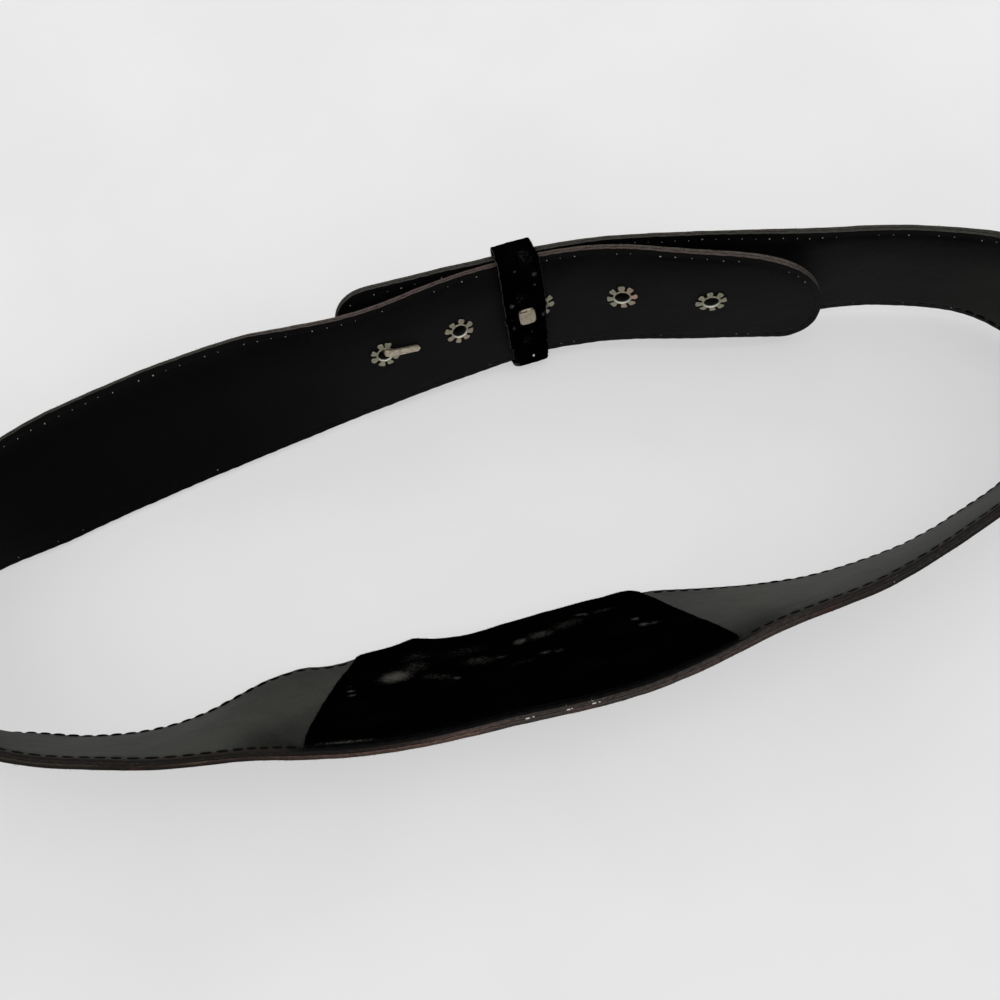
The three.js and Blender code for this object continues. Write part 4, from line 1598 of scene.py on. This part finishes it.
@dataclass
class BackPatch:
    """The suede patch on the lining of the near side."""

    path: StrapPath
    left: float = 457.3
    right: float = 581.8
    bottom: float = 0.2
    top: float = 42.95
    drop: float = 41.2
    left_slant: tuple[float, float] = (14.2, 1.35)
    right_slant: tuple[float, float] = (17.6, 1.5)
    inner: float = -1.1
    outer: float = -0.05
    skive: float = 2.6
    border: float = 0.5
    bump_at: float = 490.0
    bump: float = 1.3
    marks: tuple[Mark, ...] = (
        Mark(483.2, 16.7, 5.6, 3.1, 0.95, 2), Mark(489.5, 14.0, 6.5, 3.8, 0.50, 0),
        Mark(495.5, 20.5, 8.0, 2.2, 0.48, 18), Mark(490.0, 9.0, 8.0, 3.6, 0.42),
        Mark(501.0, 23.0, 1.6, 0.9, 0.75, 20), Mark(508.5, 17.0, 8.0, 3.2, 0.50, 10),
        Mark(515.0, 17.6, 3.6, 1.0, 0.56), Mark(505.0, 10.5, 11.0, 4.0, 0.40),
        Mark(522.5, 12.3, 3.0, 1.7, 0.78, 0), Mark(529.0, 11.6, 7.0, 2.6, 0.60, 0),
        Mark(538.0, 10.2, 9.0, 3.0, 0.48), Mark(528.6, 20.6, 2.6, 0.9, 0.74),
        Mark(533.0, 21.6, 3.4, 0.8, 0.58), Mark(521.0, 22.5, 9.0, 1.6, 0.40),
        Mark(543.5, 7.6, 3.6, 0.9, 0.66, 12), Mark(550.0, 8.2, 6.5, 1.4, 0.50),
        Mark(558.5, 16.3, 1.8, 1.2, 0.75), Mark(560.2, 19.9, 1.8, 1.1, 0.85),
        Mark(563.4, 20.2, 3.2, 1.0, 0.60), Mark(469.9, 17.3, 1.5, 0.45, 0.8),
        Mark(470.2, 19.8, 1.6, 0.6, 0.9), Mark(470.6, 21.9, 1.5, 0.55, 0.85),
        Mark(469.0, 42.6, 11.0, 0.6, 0.72),
    )

    def _end(self, height: Array, slant: tuple[float, float]) -> Array:
        """Return how far an end of the patch has come in at a height."""
        share = np.clip((height - self.bottom) / self.drop, 0, 1)
        return slant[0] * (1 - share) ** slant[1]

    def grid(self) -> Array:
        """Lay out the patch.

        Returns:
            Flat places, in rows from end to end.
        """
        heights = np.linspace(self.bottom, self.top, 60)
        left = self.left + self._end(heights, self.left_slant)
        right = self.right - self._end(heights, self.right_slant)
        share = np.linspace(0, 1, 170)[:, None]
        along = left + (right - left) * share
        swell = self.bump * bell(along, self.bump_at, 4.2)
        lowered = swell * np.clip(1 - (heights - self.bottom) / 10, 0, 1) ** 1.5
        return np.stack([along, heights - lowered], axis=2)

    def covers(self, places: Array) -> Array:
        """Say what the patch covers.

        Args:
            places: Flat places.

        Returns:
            Which of them lie under it.
        """
        left = self.left + self._end(places[:, 1], self.left_slant)
        right = self.right - self._end(places[:, 1], self.right_slant)
        return (places[:, 0] > left - 1.5) & (places[:, 0] < right + 1.5)

    def _shape(self, flat: Array) -> Array:
        """Soften the face and skive the borders.

        Args:
            flat: Flat places.

        Returns:
            The moved places.
        """
        moved = flat.copy()
        along, height = flat[:, 0], flat[:, 1]
        left = along - self.left - self._end(height, self.left_slant)
        right = self.right - self._end(height, self.right_slant) - along
        border = np.minimum.reduce([left, right, self.top - height, height - self.bottom])
        full = self.border + (1 - self.border) * np.clip(border / self.skive, 0, 1) ** 0.7
        moved[:, 2] = self.outer + (flat[:, 2] - self.outer) * full
        face = np.clip((self.outer - flat[:, 2]) / (self.outer - self.inner), 0, 1)
        moved[:, 2] -= face * 0.09 * wander(along + 0.7 * height, 41, (23, 13, 7))
        moved[:, 0] += 0.12 * wander(height, 42, (11, 5))
        moved[:, 1] += 0.10 * wander(along, 43, (19, 8)) * (height > self.top / 2)
        return moved

    def build(self) -> Piece:
        """Build the patch.

        Returns:
            The piece.
        """
        black, tip = (0.0003, 0.0003, 0.0003), (0.0012, 0.0012, 0.0012)
        nap = Suede("patch_suede", black, tip, gloss=0.0, sheen=0.0, lint_share=0.03).make()
        tones = ((0.0, (0.0015, 0.0015, 0.0015)), (1.0, (0.002, 0.002, 0.002)))
        raw = CutEdge("raw_patch_edge", STRAP.length, tones, dark=black, pale=tip, stained=0.0).make()
        sheet = Sheet("suede_patch", self.grid(), self.inner, self.outer, 0.22)
        piece = sheet.make(self.path.lay, nap, raw, self._shape, self.marks)
        return present(piece, Slot.PATCH, "back_patch")

    def fray(self) -> Piece:
        """Add the frayed fibres along the outline.

        Returns:
            The fibres as one piece.
        """
        grid = self.grid()
        rng = random.Random(71)
        rims = ((grid[:, 0], (0, -1)), (grid[0], (-1, -0.3)), (grid[-1], (1, -0.3)), (grid[:, -1], (0, 1)))
        roots = []
        for rim, (ahead, up) in rims:
            for _ in range(9 * len(rim) // 2):
                along, height = rim[rng.randrange(len(rim))]
                foot = (along + rng.uniform(-0.4, 0.4), height, rng.uniform(-0.5, -0.2))
                roots.append((foot, (ahead + rng.gauss(0, 0.3), up, -0.3)))
        fringe = Fluff("patch_fibres", (0.0015, 0.0015, 0.0015), (0.005, 0.005, 0.005)).make()
        return present(fibres("patch_fringe", roots, (0.25, 0.6), self.path.lay, fringe), Slot.PATCH)


@dataclass
class SplayedEyelet:
    """A metal eyelet, pressed in from the suede side and splayed into petals on the lining."""

    number: int
    along: float
    height: float
    turn: float
    squeeze: float = 1.0
    tones: tuple[float, ...] = (0.0, 0.25, 0.1, 0.0, 0.2, 0.05, 0.3, 0.1)
    petals: int = 8
    pressed: int = -1
    root: float = 2.8
    reach: float = 5.2
    root_width: float = 1.35
    tip_width: float = 2.2
    sheet: float = 0.3
    crown: float = -0.74
    profile: tuple[tuple[float, float], ...] = (
        (2.72, -0.12), (2.74, 1.5), (2.74, 3.06), (4.80, 3.06), (5.02, 3.18), (4.95, 3.46), (4.20, 3.68),
        (3.20, 3.72), (2.62, 3.56), (2.44, 3.20), (2.42, 1.5), (2.42, 0.05), (2.46, -0.34),
        (2.58, -0.58), (2.78, -0.68), (3.02, -0.64), (3.16, -0.44), (3.12, -0.20), (2.95, -0.10),
    )

    def _barrel(self, bm: BMesh) -> None:
        """Spin the barrel with its flange and its rolled lip.

        Args:
            bm: The shape that it is added to.
        """
        verts = [bm.verts.new((radius, 0, depth)) for radius, depth in self.profile]
        edges = [bm.edges.new((a, b)) for a, b in zip(verts, verts[1:] + verts[:1])]
        bmesh.ops.spin(
            bm,
            geom=edges,
            cent=(0, 0, 0),
            axis=(0, 0, 1),
            angle=2 * math.pi,
            steps=44,
            use_merge=True,
            use_duplicate=False,
        )

    def _petal(self, rng: random.Random, number: int) -> BMesh:
        """Shape one petal.

        Args:
            rng: Source of its small differences.
            number: Its place round the eyelet.

        Returns:
            The petal, lying along x from the lip.
        """
        bm = bmesh.new()
        bmesh.ops.create_grid(bm, x_segments=7, y_segments=4, size=1.0)
        reach = self.reach + rng.uniform(-0.25, 0.12) - 1.6 * (number == self.pressed)
        tip_width = self.tip_width * rng.uniform(0.90, 1.08)
        curl = rng.uniform(-0.08, 0.12)
        twist = rng.uniform(-0.12, 0.12)
        phase = rng.uniform(0.0, 6.3)
        for vert in bm.verts:
            share, side = (vert.co.x + 1) / 2, vert.co.y
            width = self.root_width + (tip_width - self.root_width) * min(1.0, share * 1.7) ** 1.5
            corner = max(0.0, (share - 0.75) / 0.25)
            width *= math.sqrt(1 - 0.25 * corner**2)
            radius = self.root + (reach - self.root) * share - 0.16 * side**4 * corner
            radius += 0.09 * math.sin(3 * side + phase) * share**2
            arch = -0.52 + 0.34 * share**1.3 - curl * share + twist * side * share
            vert.co = (radius, side * width / 2, arch + 0.08 * side**2)
        bmesh.ops.solidify(bm, geom=bm.faces[:], thickness=self.sheet)
        bmesh.ops.recalc_face_normals(bm, faces=bm.faces[:])
        round_off(bm, sharp_edges(bm, SHARP), 0.08, 2)
        top = min(vert.co.z for vert in bm.verts)
        bmesh.ops.translate(bm, verts=bm.verts[:], vec=(0, 0, self.crown - top))
        return bm

    def build(self, path: StrapPath, finish: Material) -> Piece:
        """Build the eyelet.

        Args:
            path: The loop that the strap stands in.
            finish: The metal's finish.

        Returns:
            The piece.
        """
        rng = random.Random(100 + self.number)
        bm = bmesh.new()
        self._barrel(bm)
        tone = bm.verts.layers.float.new(TONE_ATTRIBUTE)
        recess_shade = bm.verts.layers.float.new(WEAR_AND_SHADE_ATTRIBUTE)
        # Inside the barrel the metal is painted dark deeper than its rolled lip: painted shade in the hole.
        for vert in bm.verts:
            vert[tone] = 0.12
            inner = math.hypot(vert.co.x, vert.co.y) < 2.6
            vert[recess_shade] = min(1.0, max(0.0, vert.co.z / 0.45 + 1.15)) if inner else 0.0
        for number in range(self.petals):
            petal = self._petal(rng, number)
            angle = 2 * math.pi * number / self.petals + rng.gauss(0, 0.05)
            bmesh.ops.rotate(petal, verts=petal.verts[:], matrix=Matrix.Rotation(angle, 3, "Z"))
            layer = petal.verts.layers.float.new(TONE_ATTRIBUTE)
            for vert in petal.verts:
                vert[layer] = self.tones[number]
            part = mesh_of("petal", petal)
            bm.from_mesh(part)
            bpy.data.meshes.remove(part)
        bmesh.ops.recalc_face_normals(bm, faces=bm.faces[:])
        bmesh.ops.rotate(bm, verts=bm.verts[:], matrix=Matrix.Rotation(math.radians(self.turn), 3, "Z"))
        tone = bm.verts.layers.float[TONE_ATTRIBUTE]
        for vert in bm.verts:
            radius = math.hypot(vert.co.x, vert.co.y)
            # The lip's side towards the strap's lower edge gets a tone below 0: a painted highlight where it
            # faces up to the light.
            if 2.40 < radius < 2.72 and -0.7 < vert.co.z < 0.1:
                vert[tone] = -min(1.0, max(0.0, 0.25 - 1.3 * vert.co.y / radius))
            vert.co.x *= self.squeeze
        name = f"splayed_eyelet_{self.number}"
        mesh = mesh_of(name, bm)
        places = np.hstack([points_of(mesh), np.ones((len(mesh.vertices), 1))])
        set_points(mesh, (places @ path.surface(self.along, self.height).T)[:, :3])
        piece = linked(name, mesh, finish)
        return present(piece, Slot.EYELET, f"eyelet_{self.number}")


EYELETS = (
    SplayedEyelet(1, 38.2, 21.9, -13.5),
    SplayedEyelet(2, 65.9, 23.0, -7, 1.0, (0.0, 0.1, 0.2, 0.45, 1.0, 0.35, 0.5, 0.1)),
    SplayedEyelet(3, 93.0, 24.5, 12, 0.95),
    SplayedEyelet(4, 119.7, 22.9, 19, 0.94, (0.3, 0.1, 0.2, 0.15, 0.3, 0.4, 0.45, 0.3)),
    SplayedEyelet(5, 144.8, 25.0, -13, 0.94, (0.1, 0.1, 0.2, 0.1, 0.4, 0.2, 0.1, 0.15), pressed=4),
)


def bar_grid(length: float, width: float, end: float, columns: int, lines: int) -> Array:
    """Return flat places of a bar along x whose far end is rounded off.

    Args:
        length: The bar's length.
        width: Its width.
        end: How far the rounding reaches back from the far end.
        columns: Number of columns along it.
        lines: Number of lines across it.

    Returns:
        The flat places, as a grid.
    """
    straight = np.linspace(0, length - end, columns)
    tip = length - end + end * np.sin(np.linspace(0, math.radians(84), columns // 2))
    along = np.concatenate([straight[:-1], tip])
    inset = np.clip((along - (length - end)) / end, 0, 1)
    half = width / 2 * np.sqrt(1 - inset**2)
    heights = half[:, None] * np.linspace(-1, 1, lines)
    return np.stack([np.broadcast_to(along[:, None], heights.shape), heights], axis=2)


@dataclass
class Hook:
    """The metal strip that fastens the belt: a prong, a neck through the last eyelet, and a plate."""

    path: StrapPath
    eyelet: SplayedEyelet
    width: float = 2.45
    thickness: float = 0.75
    slope: float = 15.7
    lift: float = 1.15
    neck: float = 0.35
    reach: float = 11.85
    prong_depth: float = -1.15
    knee: float = 5.2
    knee_depth: float = -1.06
    tip_depth: float = -0.60
    plate: tuple[float, float, float] = (13.0, 9.0, 0.8)
    plate_gap: float = 0.2
    bend_radius: float = 1.3

    def _place(self) -> Array:
        """Return the frame that lies on the lining where the neck comes through."""
        return self.path.surface(self.eyelet.along, self.eyelet.height + self.lift)

    def _band(self) -> tuple[Array, float]:
        """Find the band behind the eyelet.

        Returns:
            The frame that lies on its lining, and its depth.
        """
        frame = self._place()
        height = self.eyelet.height + self.lift
        along = self.path.band_behind(frame[:3, 3], frame[:3, 0], height)
        band = self.path.surface(along, height)
        depth = (band[:3, 3] - frame[:3, 3]) @ band[:3, 2] / (frame[:3, 2] @ band[:3, 2])
        return band, float(depth)

    def _strip(self, bottom: float, finish: Material) -> Piece:
        """Move the prong and the neck from one strip.

        Args:
            bottom: Depth at which the neck ends.
            finish: The metal's finish.

        Returns:
            The strip.
        """
        turn = Matrix.Rotation(math.radians(180 + self.slope), 4, "Z")
        frame = self._place() @ np.array(turn)
        plane = np.eye(4)
        plane[:, 0], plane[:, 1], plane[:, 2] = frame[:, 0], -frame[:, 2], frame[:, 1]
        plane[:, 3] = frame[:, 3]
        corners = [
            np.array([self.neck, -bottom]),
            np.array([self.neck, -self.prong_depth]),
            np.array([self.knee, -self.knee_depth]),
            np.array([self.reach, -self.tip_depth]),
        ]
        line = PlanePath(corners, self.bend_radius, plane)
        grid = bar_grid(line.length, self.width, self.width / 2, 40, 9)
        half = self.thickness / 2
        sheet = Sheet("hook_strip", grid, -half, half, 0.26, 3)
        return sheet.make(line.bend, finish, finish, self._ridge)

    def _ridge(self, flat: Array) -> Array:
        """Press a groove along the upper part of the outer face.

        Args:
            flat: Flat places.

        Returns:
            The moved places.
        """
        moved = flat.copy()
        groove = bell(flat[:, 1], 0.55, 0.2)
        crown = 1 - (flat[:, 1] / (self.width / 2)) ** 2
        moved[:, 2] += np.where(flat[:, 2] > 0, 0.12 * crown - 0.10 * groove, 0.0)
        return moved

    def build(self, finish: Material) -> Piece:
        """Build the hook.

        Args:
            finish: The metal's finish.

        Returns:
            The piece.
        """
        band, depth = self._band()
        length, width, thickness = self.plate
        outer = -self.plate_gap
        piece = self._strip(depth + outer - thickness / 2, finish)
        bm = bmesh.new()
        bmesh.ops.create_cube(bm, size=1.0)
        bmesh.ops.scale(bm, verts=bm.verts[:], vec=(length, width, thickness))
        upright = [e for e in bm.edges if abs(e.verts[0].co.z - e.verts[1].co.z) > thickness / 2]
        round_off(bm, upright, 2.0, 6)
        round_off(bm, sharp_edges(bm, SHARP), 0.15, 2)
        bmesh.ops.translate(bm, verts=bm.verts[:], vec=(0, 0, outer - thickness / 2))
        place = np.diag([MM, MM, MM, 1.0]) @ band
        bmesh.ops.transform(bm, verts=bm.verts[:], matrix=Matrix(place.tolist()))
        bm.from_mesh(piece.data)
        bm.to_mesh(piece.data)
        bm.free()
        piece.data.polygons.foreach_set("use_smooth", np.ones(len(piece.data.polygons), bool))
        piece.name = "bent_hook"
        return present(piece, Slot.HOOK, "hook")


@dataclass
class Keeper:
    """The suede keeper round both bands, which a metal staple closes."""

    path: StrapPath
    along: float = 98.3
    width: float = 12.4
    thickness: float = 1.2
    inner_clearance: float = 1.2
    outer_clearance: float = 0.5
    headroom: float = 1.8
    footroom: float = 0.1
    rest: float = 7.0
    corner: float = 2.2
    skew: float = 0.045
    lap_start: float = 15.0
    lap_step: float = 8.5
    lap_rise: float = 4.0
    lap_end: float = 24.6
    lap_gap: float = 0.3
    jog: float = 0.7
    top_at: float = 38.0
    side_fibres: int = 1500
    end_fibres: int = 160
    line: PlanePath = field(init=False)

    def __post_init__(self) -> None:
        """Work out the line that the keeper's strip follows round the two bands."""
        foot, forward, _, _ = (part[0] for part in self.path.frames(np.array([self.along])))
        outward = unit(np.cross(forward, UP))
        ahead = np.cross(UP, outward)
        origin = np.array([foot[0], foot[1], 0.0])
        middle = self.path.bend(np.array([[self.along, STRAP.width / 2, 0.0]]))[0]
        behind = self.path.band_behind(middle, forward, STRAP.width / 2)
        band = self.path.surface(behind, STRAP.width / 2)
        band_foot = self.path.frames(np.array([behind]))[0][0]

        def flat(point: Array) -> Array:
            """Return a point in the plane across the bands."""
            return np.array([(point - origin) @ outward, point[2]])

        def on_band(height: float) -> Array:
            """Return where the outer band's outer face lies in that plane."""
            return flat(band_foot + band[:3, 1] * height + band[:3, 2] * STRAP.thickness)

        ends = np.array([[self.along, 0.0, 0.0], [self.along, STRAP.width, 0.0]])
        inner_foot, inner_top = (flat(point) for point in self.path.bend(ends))
        outer_top, outer_foot = on_band(STRAP.width), on_band(0.0)
        half = self.thickness / 2
        rise = unit(inner_top - inner_foot)
        inward = np.array([-rise[1], rise[0]])
        wall_foot = inner_foot + inward * (self.inner_clearance + half)
        lap_offset = inward * (self.thickness + self.lap_gap)
        outer_rise = unit(outer_top - outer_foot)
        outer_side = np.array([outer_rise[1], -outer_rise[0]])
        outer_wall = outer_foot + outer_side * (self.outer_clearance + half)
        outer_length = np.linalg.norm(outer_top - outer_foot) + self.headroom + half
        outer_rest = outer_wall + outer_rise * ((half - outer_wall[1]) / outer_rise[1])
        corners = [
            wall_foot + rise * self.lap_start,
            wall_foot + rise * (STRAP.width + self.headroom + half),
            outer_wall + outer_rise * outer_length,
            outer_rest,
            np.array([outer_rest[0] - self.rest, half]),
            wall_foot - rise * (self.footroom + half),
            wall_foot + rise * self.lap_step,
            wall_foot + rise * (self.lap_step + self.lap_rise) + lap_offset,
            wall_foot + rise * self.lap_end + lap_offset,
        ]
        plane = np.eye(4)
        plane[:3, 0] = outward
        plane[:3, 1] = UP + ahead * self.skew
        plane[:3, 2] = ahead
        plane[:3, 3] = origin - ahead * self.skew * STRAP.width / 2
        self.line = PlanePath(corners, self.corner, plane)

    def _shape(self, flat: Array) -> Array:
        """Give the strip a wandering edge, a soft face and a wider lapped end.

        Args:
            flat: Flat places.

        Returns:
            The moved places.
        """
        moved = flat.copy()
        side = np.clip(np.abs(flat[:, 1]) / (self.width / 2), 0, 1) ** 3
        left = flat[:, 1] > 0
        along = flat[:, 0]
        wave = np.where(left, wander(along, 51, (17, 6, 3.1)), wander(along, 52, (15, 7, 2.9)))
        moved[:, 1] += 0.14 * side * wave
        lapped = np.clip((along - (self.line.length - 15.6)) / 1.2, 0, 1)
        moved[:, 1] += self.jog * side * left * lapped
        notch = bell(along, self.line.length - 15.4, 0.8)
        moved[:, 1] += np.where(left, -0.35, 0.45) * side * notch
        moved[:, 1] += 0.6 * side * left * bell(along, self.line.length, 2.2)
        knots = (0, 8, 18, 28, 36, 43)
        left_spread = np.interp(along, knots, (1.06, 1.07, 1.07, 1.07, 1.03, 1.0))
        right_spread = np.interp(along, knots, (1.1, 1.13, 1.16, 1.12, 1.07, 1.0))
        moved[:, 1] *= np.where(left, left_spread, right_spread)
        foot = bell(along, self.line.length - 25.5, 3.4)
        moved[:, 1] *= 1 - np.where(left, 0.28, 0.10) * side * foot
        moved[:, 1] *= 1 - 0.05 * side * left * bell(along, self.top_at, 3.0)
        face = np.sign(flat[:, 2])
        moved[:, 2] += face * 0.08 * wander(along + 1.7 * flat[:, 1], 53, (9, 5, 2.7))
        crown = 0.16 * (1 - (2 * flat[:, 1] / self.width) ** 2)
        moved[:, 2] += np.where(flat[:, 2] > 0, crown, 0.0)
        return moved

    def _bend(self, flat: Array) -> Array:
        """Return where flat places of the worn strip lie."""
        return self.line.bend(self._shape(flat))

    def _marks(self) -> tuple[Mark, ...]:
        """List the rubbed spots.

        Returns:
            The spots on the side that shows.
        """
        end = self.line.length
        return (
            Mark(29.1, 1.6, 0.7, 0.6, 0.75), Mark(25.7, -3.9, 1.5, 1.0, 0.66),
            Mark(21.2, -3.6, 0.55, 0.5, 1.0), Mark(14.4, 3.9, 1.2, 1.0, 0.85),
            Mark(33.0, -2.0, 5.0, 3.2, 0.36), Mark(17.0, 1.0, 5.0, 3.0, 0.34),
            Mark(end - 3.9, 4.5, 1.1, 0.7, 0.66), Mark(end - 7.6, -1.0, 0.9, 0.5, 0.62),
            Mark(end - 1.2, -5.4, 1.4, 0.7, 0.7), Mark(end - 2.0, 6.3, 1.2, 0.6, 0.7),
            Mark(end - 12.0, 1.0, 5.0, 3.4, 0.36),
        )

    def build(self) -> Piece:
        """Build the keeper's strip.

        Returns:
            The piece.
        """
        along = np.linspace(0, self.line.length, round(self.line.length / 0.6) + 1)
        heights = np.linspace(-self.width / 2, self.width / 2, 22)
        grid = np.stack(np.meshgrid(along, heights, indexing="ij"), axis=2)
        black, tip = (0.0004, 0.0004, 0.0004), (0.0020, 0.0020, 0.0021)
        nap = Suede("keeper_suede", black, tip, (0.10, 0.10, 0.095), gloss=0.0, sheen=0.0, lint_share=0.05)
        tones = ((0.0, (0.052, 0.050, 0.046)), (1.0, (0.040, 0.038, 0.036)))
        raw = CutEdge("raw_keeper_edge", self.line.length, tones, stained=0.1).make()
        half = self.thickness / 2
        sheet = Sheet("suede_keeper", grid, -half, half, 0.3, plain_ends=True)
        piece = sheet.make(self.line.bend, nap.make(), raw, self._shape, self._marks())
        return present(piece, Slot.SUEDE, "keeper_loop")

    def fray(self) -> None:
        """Add the frayed fibres along the keeper's cut edges, and a bit of lint."""
        rng = random.Random(81)
        roots = []
        for _ in range(self.side_fibres):
            along = rng.uniform(0.3, self.line.length - 0.3)
            side = rng.choice((-1, 1))
            depth = rng.uniform(-0.1, 0.5)
            foot = (along, side * (self.width / 2 - rng.uniform(-0.02, 0.25)), depth)
            roots.append((foot, (rng.gauss(0, 0.4), side, 0.5)))
        for _ in range(self.end_fibres):
            across = rng.uniform(-self.width / 2, self.width / 2)
            roots.append(((self.line.length - 0.1, across, 0.45), (1.0, rng.gauss(0, 0.4), 0.4)))
        fringe = Fluff("keeper_fibres", (0.004, 0.004, 0.004), (0.030, 0.029, 0.027)).make()
        present(fibres("keeper_fringe", roots, (0.25, 0.65), self._bend, fringe), Slot.SUEDE)
        fleck = placed((self.line.length - 21.4, -0.6, self.thickness / 2 + 0.22), (0.55, 0.36, 0.2))
        white = Fluff("keeper_lint", (0.85, 0.84, 0.82), (0.6, 0.6, 0.58)).make()
        present(scattered("lint_on_keeper", ball(2), [fleck], self._bend, white), Slot.SUEDE)


@dataclass
class Staple:
    """The metal staple that closes the keeper: a domed crown with a slit, and two legs."""

    keeper: Keeper
    length: float = 6.0
    width: float = 5.5
    thickness: float = 0.55
    dome: float = 0.16
    slit_depth: float = 0.42
    leg: tuple[float, float, float] = (0.6, 3.9, 1.4)
    leg_places: tuple[float, float] = (-2.3, -0.45)
    from_end: float = 0.2
    aside: float = -0.1
    droop: float = 0.22

    def _crown(self) -> BMesh:
        """Shape the crown.

        Returns:
            The crown, lying flat round the origin.
        """
        bm = bmesh.new()
        recess_shade = bm.verts.layers.float.new(WEAR_AND_SHADE_ATTRIBUTE)
        bmesh.ops.create_grid(bm, x_segments=44, y_segments=38, size=1.0)
        for vert in bm.verts:
            x, y = vert.co.x, vert.co.y
            taper = 1 - 0.20 * (x * y) ** 4 - 0.05 * (x * y) ** 2
            slit = math.exp(-(((x - 0.70) / 0.07) ** 4) - ((y - 0.34) / 0.44) ** 6)
            dome = self.dome * (1 - x**4) * (1 - y**4)
            flat = (x * self.length / 2 * taper, y * self.width / 2 * taper)
            vert.co = (*flat, dome - self.slit_depth * slit)
            # The slit is painted dark: painted shadow in the slot.
            vert[recess_shade] = slit
        lower = bmesh.ops.extrude_face_region(bm, geom=bm.faces[:])["geom"]
        for vert in (item for item in lower if isinstance(item, bmesh.types.BMVert)):
            vert.co.z = -self.thickness
        bmesh.ops.recalc_face_normals(bm, faces=bm.faces[:])
        round_off(bm, sharp_edges(bm, 60.0), 0.22, 3)
        return bm

    def build(self, finish: Material) -> Piece:
        """Build the staple on the keeper's lapped end.

        Args:
            finish: The metal's finish.

        Returns:
            The piece.
        """
        bm = self._crown()
        for at in self.leg_places:
            bmesh.ops.create_cube(bm, size=1.0, matrix=placed((at, 0, -1.15), self.leg))
        mesh = mesh_of("metal_staple", bm)
        line = self.keeper.line
        middle = line.length - self.from_end
        places = points_of(mesh)
        places += (middle, self.aside, self.keeper.thickness / 2 + self.thickness + 0.05)
        spots = line.bend(np.array([[middle, 0, 0], [middle - 1.0, 0, 0], [middle, 0, 1.0]]))
        onward = spots[0] - spots[1] - self.droop * (spots[2] - spots[0])
        past_end = np.maximum(places[:, 0] - middle, 0)
        set_points(mesh, line.bend(places) + past_end[:, None] * onward)
        return present(linked("metal_staple", mesh, finish), Slot.STAPLE, "keeper_staple")


# Studio


@dataclass
class Studio:
    """The pale floor, the soft lights and the camera."""

    camera_at: tuple[float, float, float] = (-8.67, -104.9, 330.5)
    camera_tilt: float = 18.91
    focal: float = 37.44
    sky: float = 0.84
    floor_half: float = 3.0
    lights: tuple[tuple[Any, ...], ...] = (
        ("back_light", (0.1, 1.25, 0.75), (0.0, 0.0, 0.02), 1.0, 7.0),
        ("top_light", (0.35, 0.1, 1.5), (0.0, 0.0, 0.0), 1.1, 4.0),
        ("front_light", (-0.2, -1.5, 0.8), (0.0, 0.0, 0.0), 1.2, 2.0),
    )

    def _light(self, name: str, at: Sequence[float], aim: Sequence[float], size: float, power: float) -> None:
        """Hang a soft light.

        Args:
            name: Its name.
            at: Its place in metres.
            aim: The point that it faces.
            size: Length of its sides in metres.
            power: Its power in watts.
        """
        data = bpy.data.lights.new(name, "AREA")
        data.shape = "SQUARE"
        data.size = size
        data.energy = power
        light = bpy.data.objects.new(name, data)
        light.location = at
        light.rotation_euler = (Vector(aim) - Vector(at)).to_track_quat("-Z", "Y").to_euler()
        bpy.context.scene.collection.objects.link(light)

    def build(self) -> None:
        """Build the floor, the sky, the lights and the camera."""
        bm = bmesh.new()
        bmesh.ops.create_grid(bm, x_segments=2, y_segments=2, size=self.floor_half)
        linked("floor", mesh_of("floor", bm), PaleBoard().make())
        world = bpy.data.worlds.new("sky")
        world.use_nodes = True
        sky = world.node_tree.nodes["Background"]
        sky.inputs["Color"].default_value = (1.0, 1.0, 1.0, 1.0)
        sky.inputs["Strength"].default_value = self.sky
        bpy.context.scene.world = world
        for light in self.lights:
            self._light(*light)
        data = bpy.data.cameras.new("camera")
        data.lens = self.focal
        data.sensor_width = 36.0
        data.clip_start = 0.01
        camera = bpy.data.objects.new("camera", data)
        camera.location = Vector(self.camera_at) * MM
        camera.rotation_euler = (math.radians(self.camera_tilt), 0.0, 0.0)
        bpy.context.scene.collection.objects.link(camera)
        bpy.context.scene.camera = camera
        bpy.context.scene.view_settings.view_transform = "Standard"


def main() -> None:
    """Build the belt piece by piece, and the studio round it."""
    logging.basicConfig(level=logging.INFO, format="%(name)s %(message)s")
    Studio().build()
    path = StrapPath(STRAP_SECTIONS)
    strap = Strap(path, EdgeSeam(), [(eyelet.along, eyelet.height) for eyelet in EYELETS])
    strap.build()
    patch = BackPatch(path)
    patch.build()
    patch.fray()
    strap.sew(patch.covers)
    strap.fray()
    aged = WornMetal("aged_eyelet_metal", (0.278, 0.274, 0.198), (0.10, 0.085, 0.05), 0.20).make()
    for eyelet in EYELETS:
        eyelet.build(path, aged)
    worn = WornMetal(
        "worn_hook_metal", (0.54, 0.48, 0.38), (0.29, 0.23, 0.17), 0.27, scratched=0.85, flat=True
    )
    Hook(path, EYELETS[-1]).build(worn.make())
    keeper = Keeper(path)
    keeper.build()
    keeper.fray()
    pale = WornMetal("worn_staple_metal", (0.40, 0.35, 0.27), (0.30, 0.22, 0.13), 0.24)
    Staple(keeper).build(pale.make())


if __name__ == "__main__":
    main()
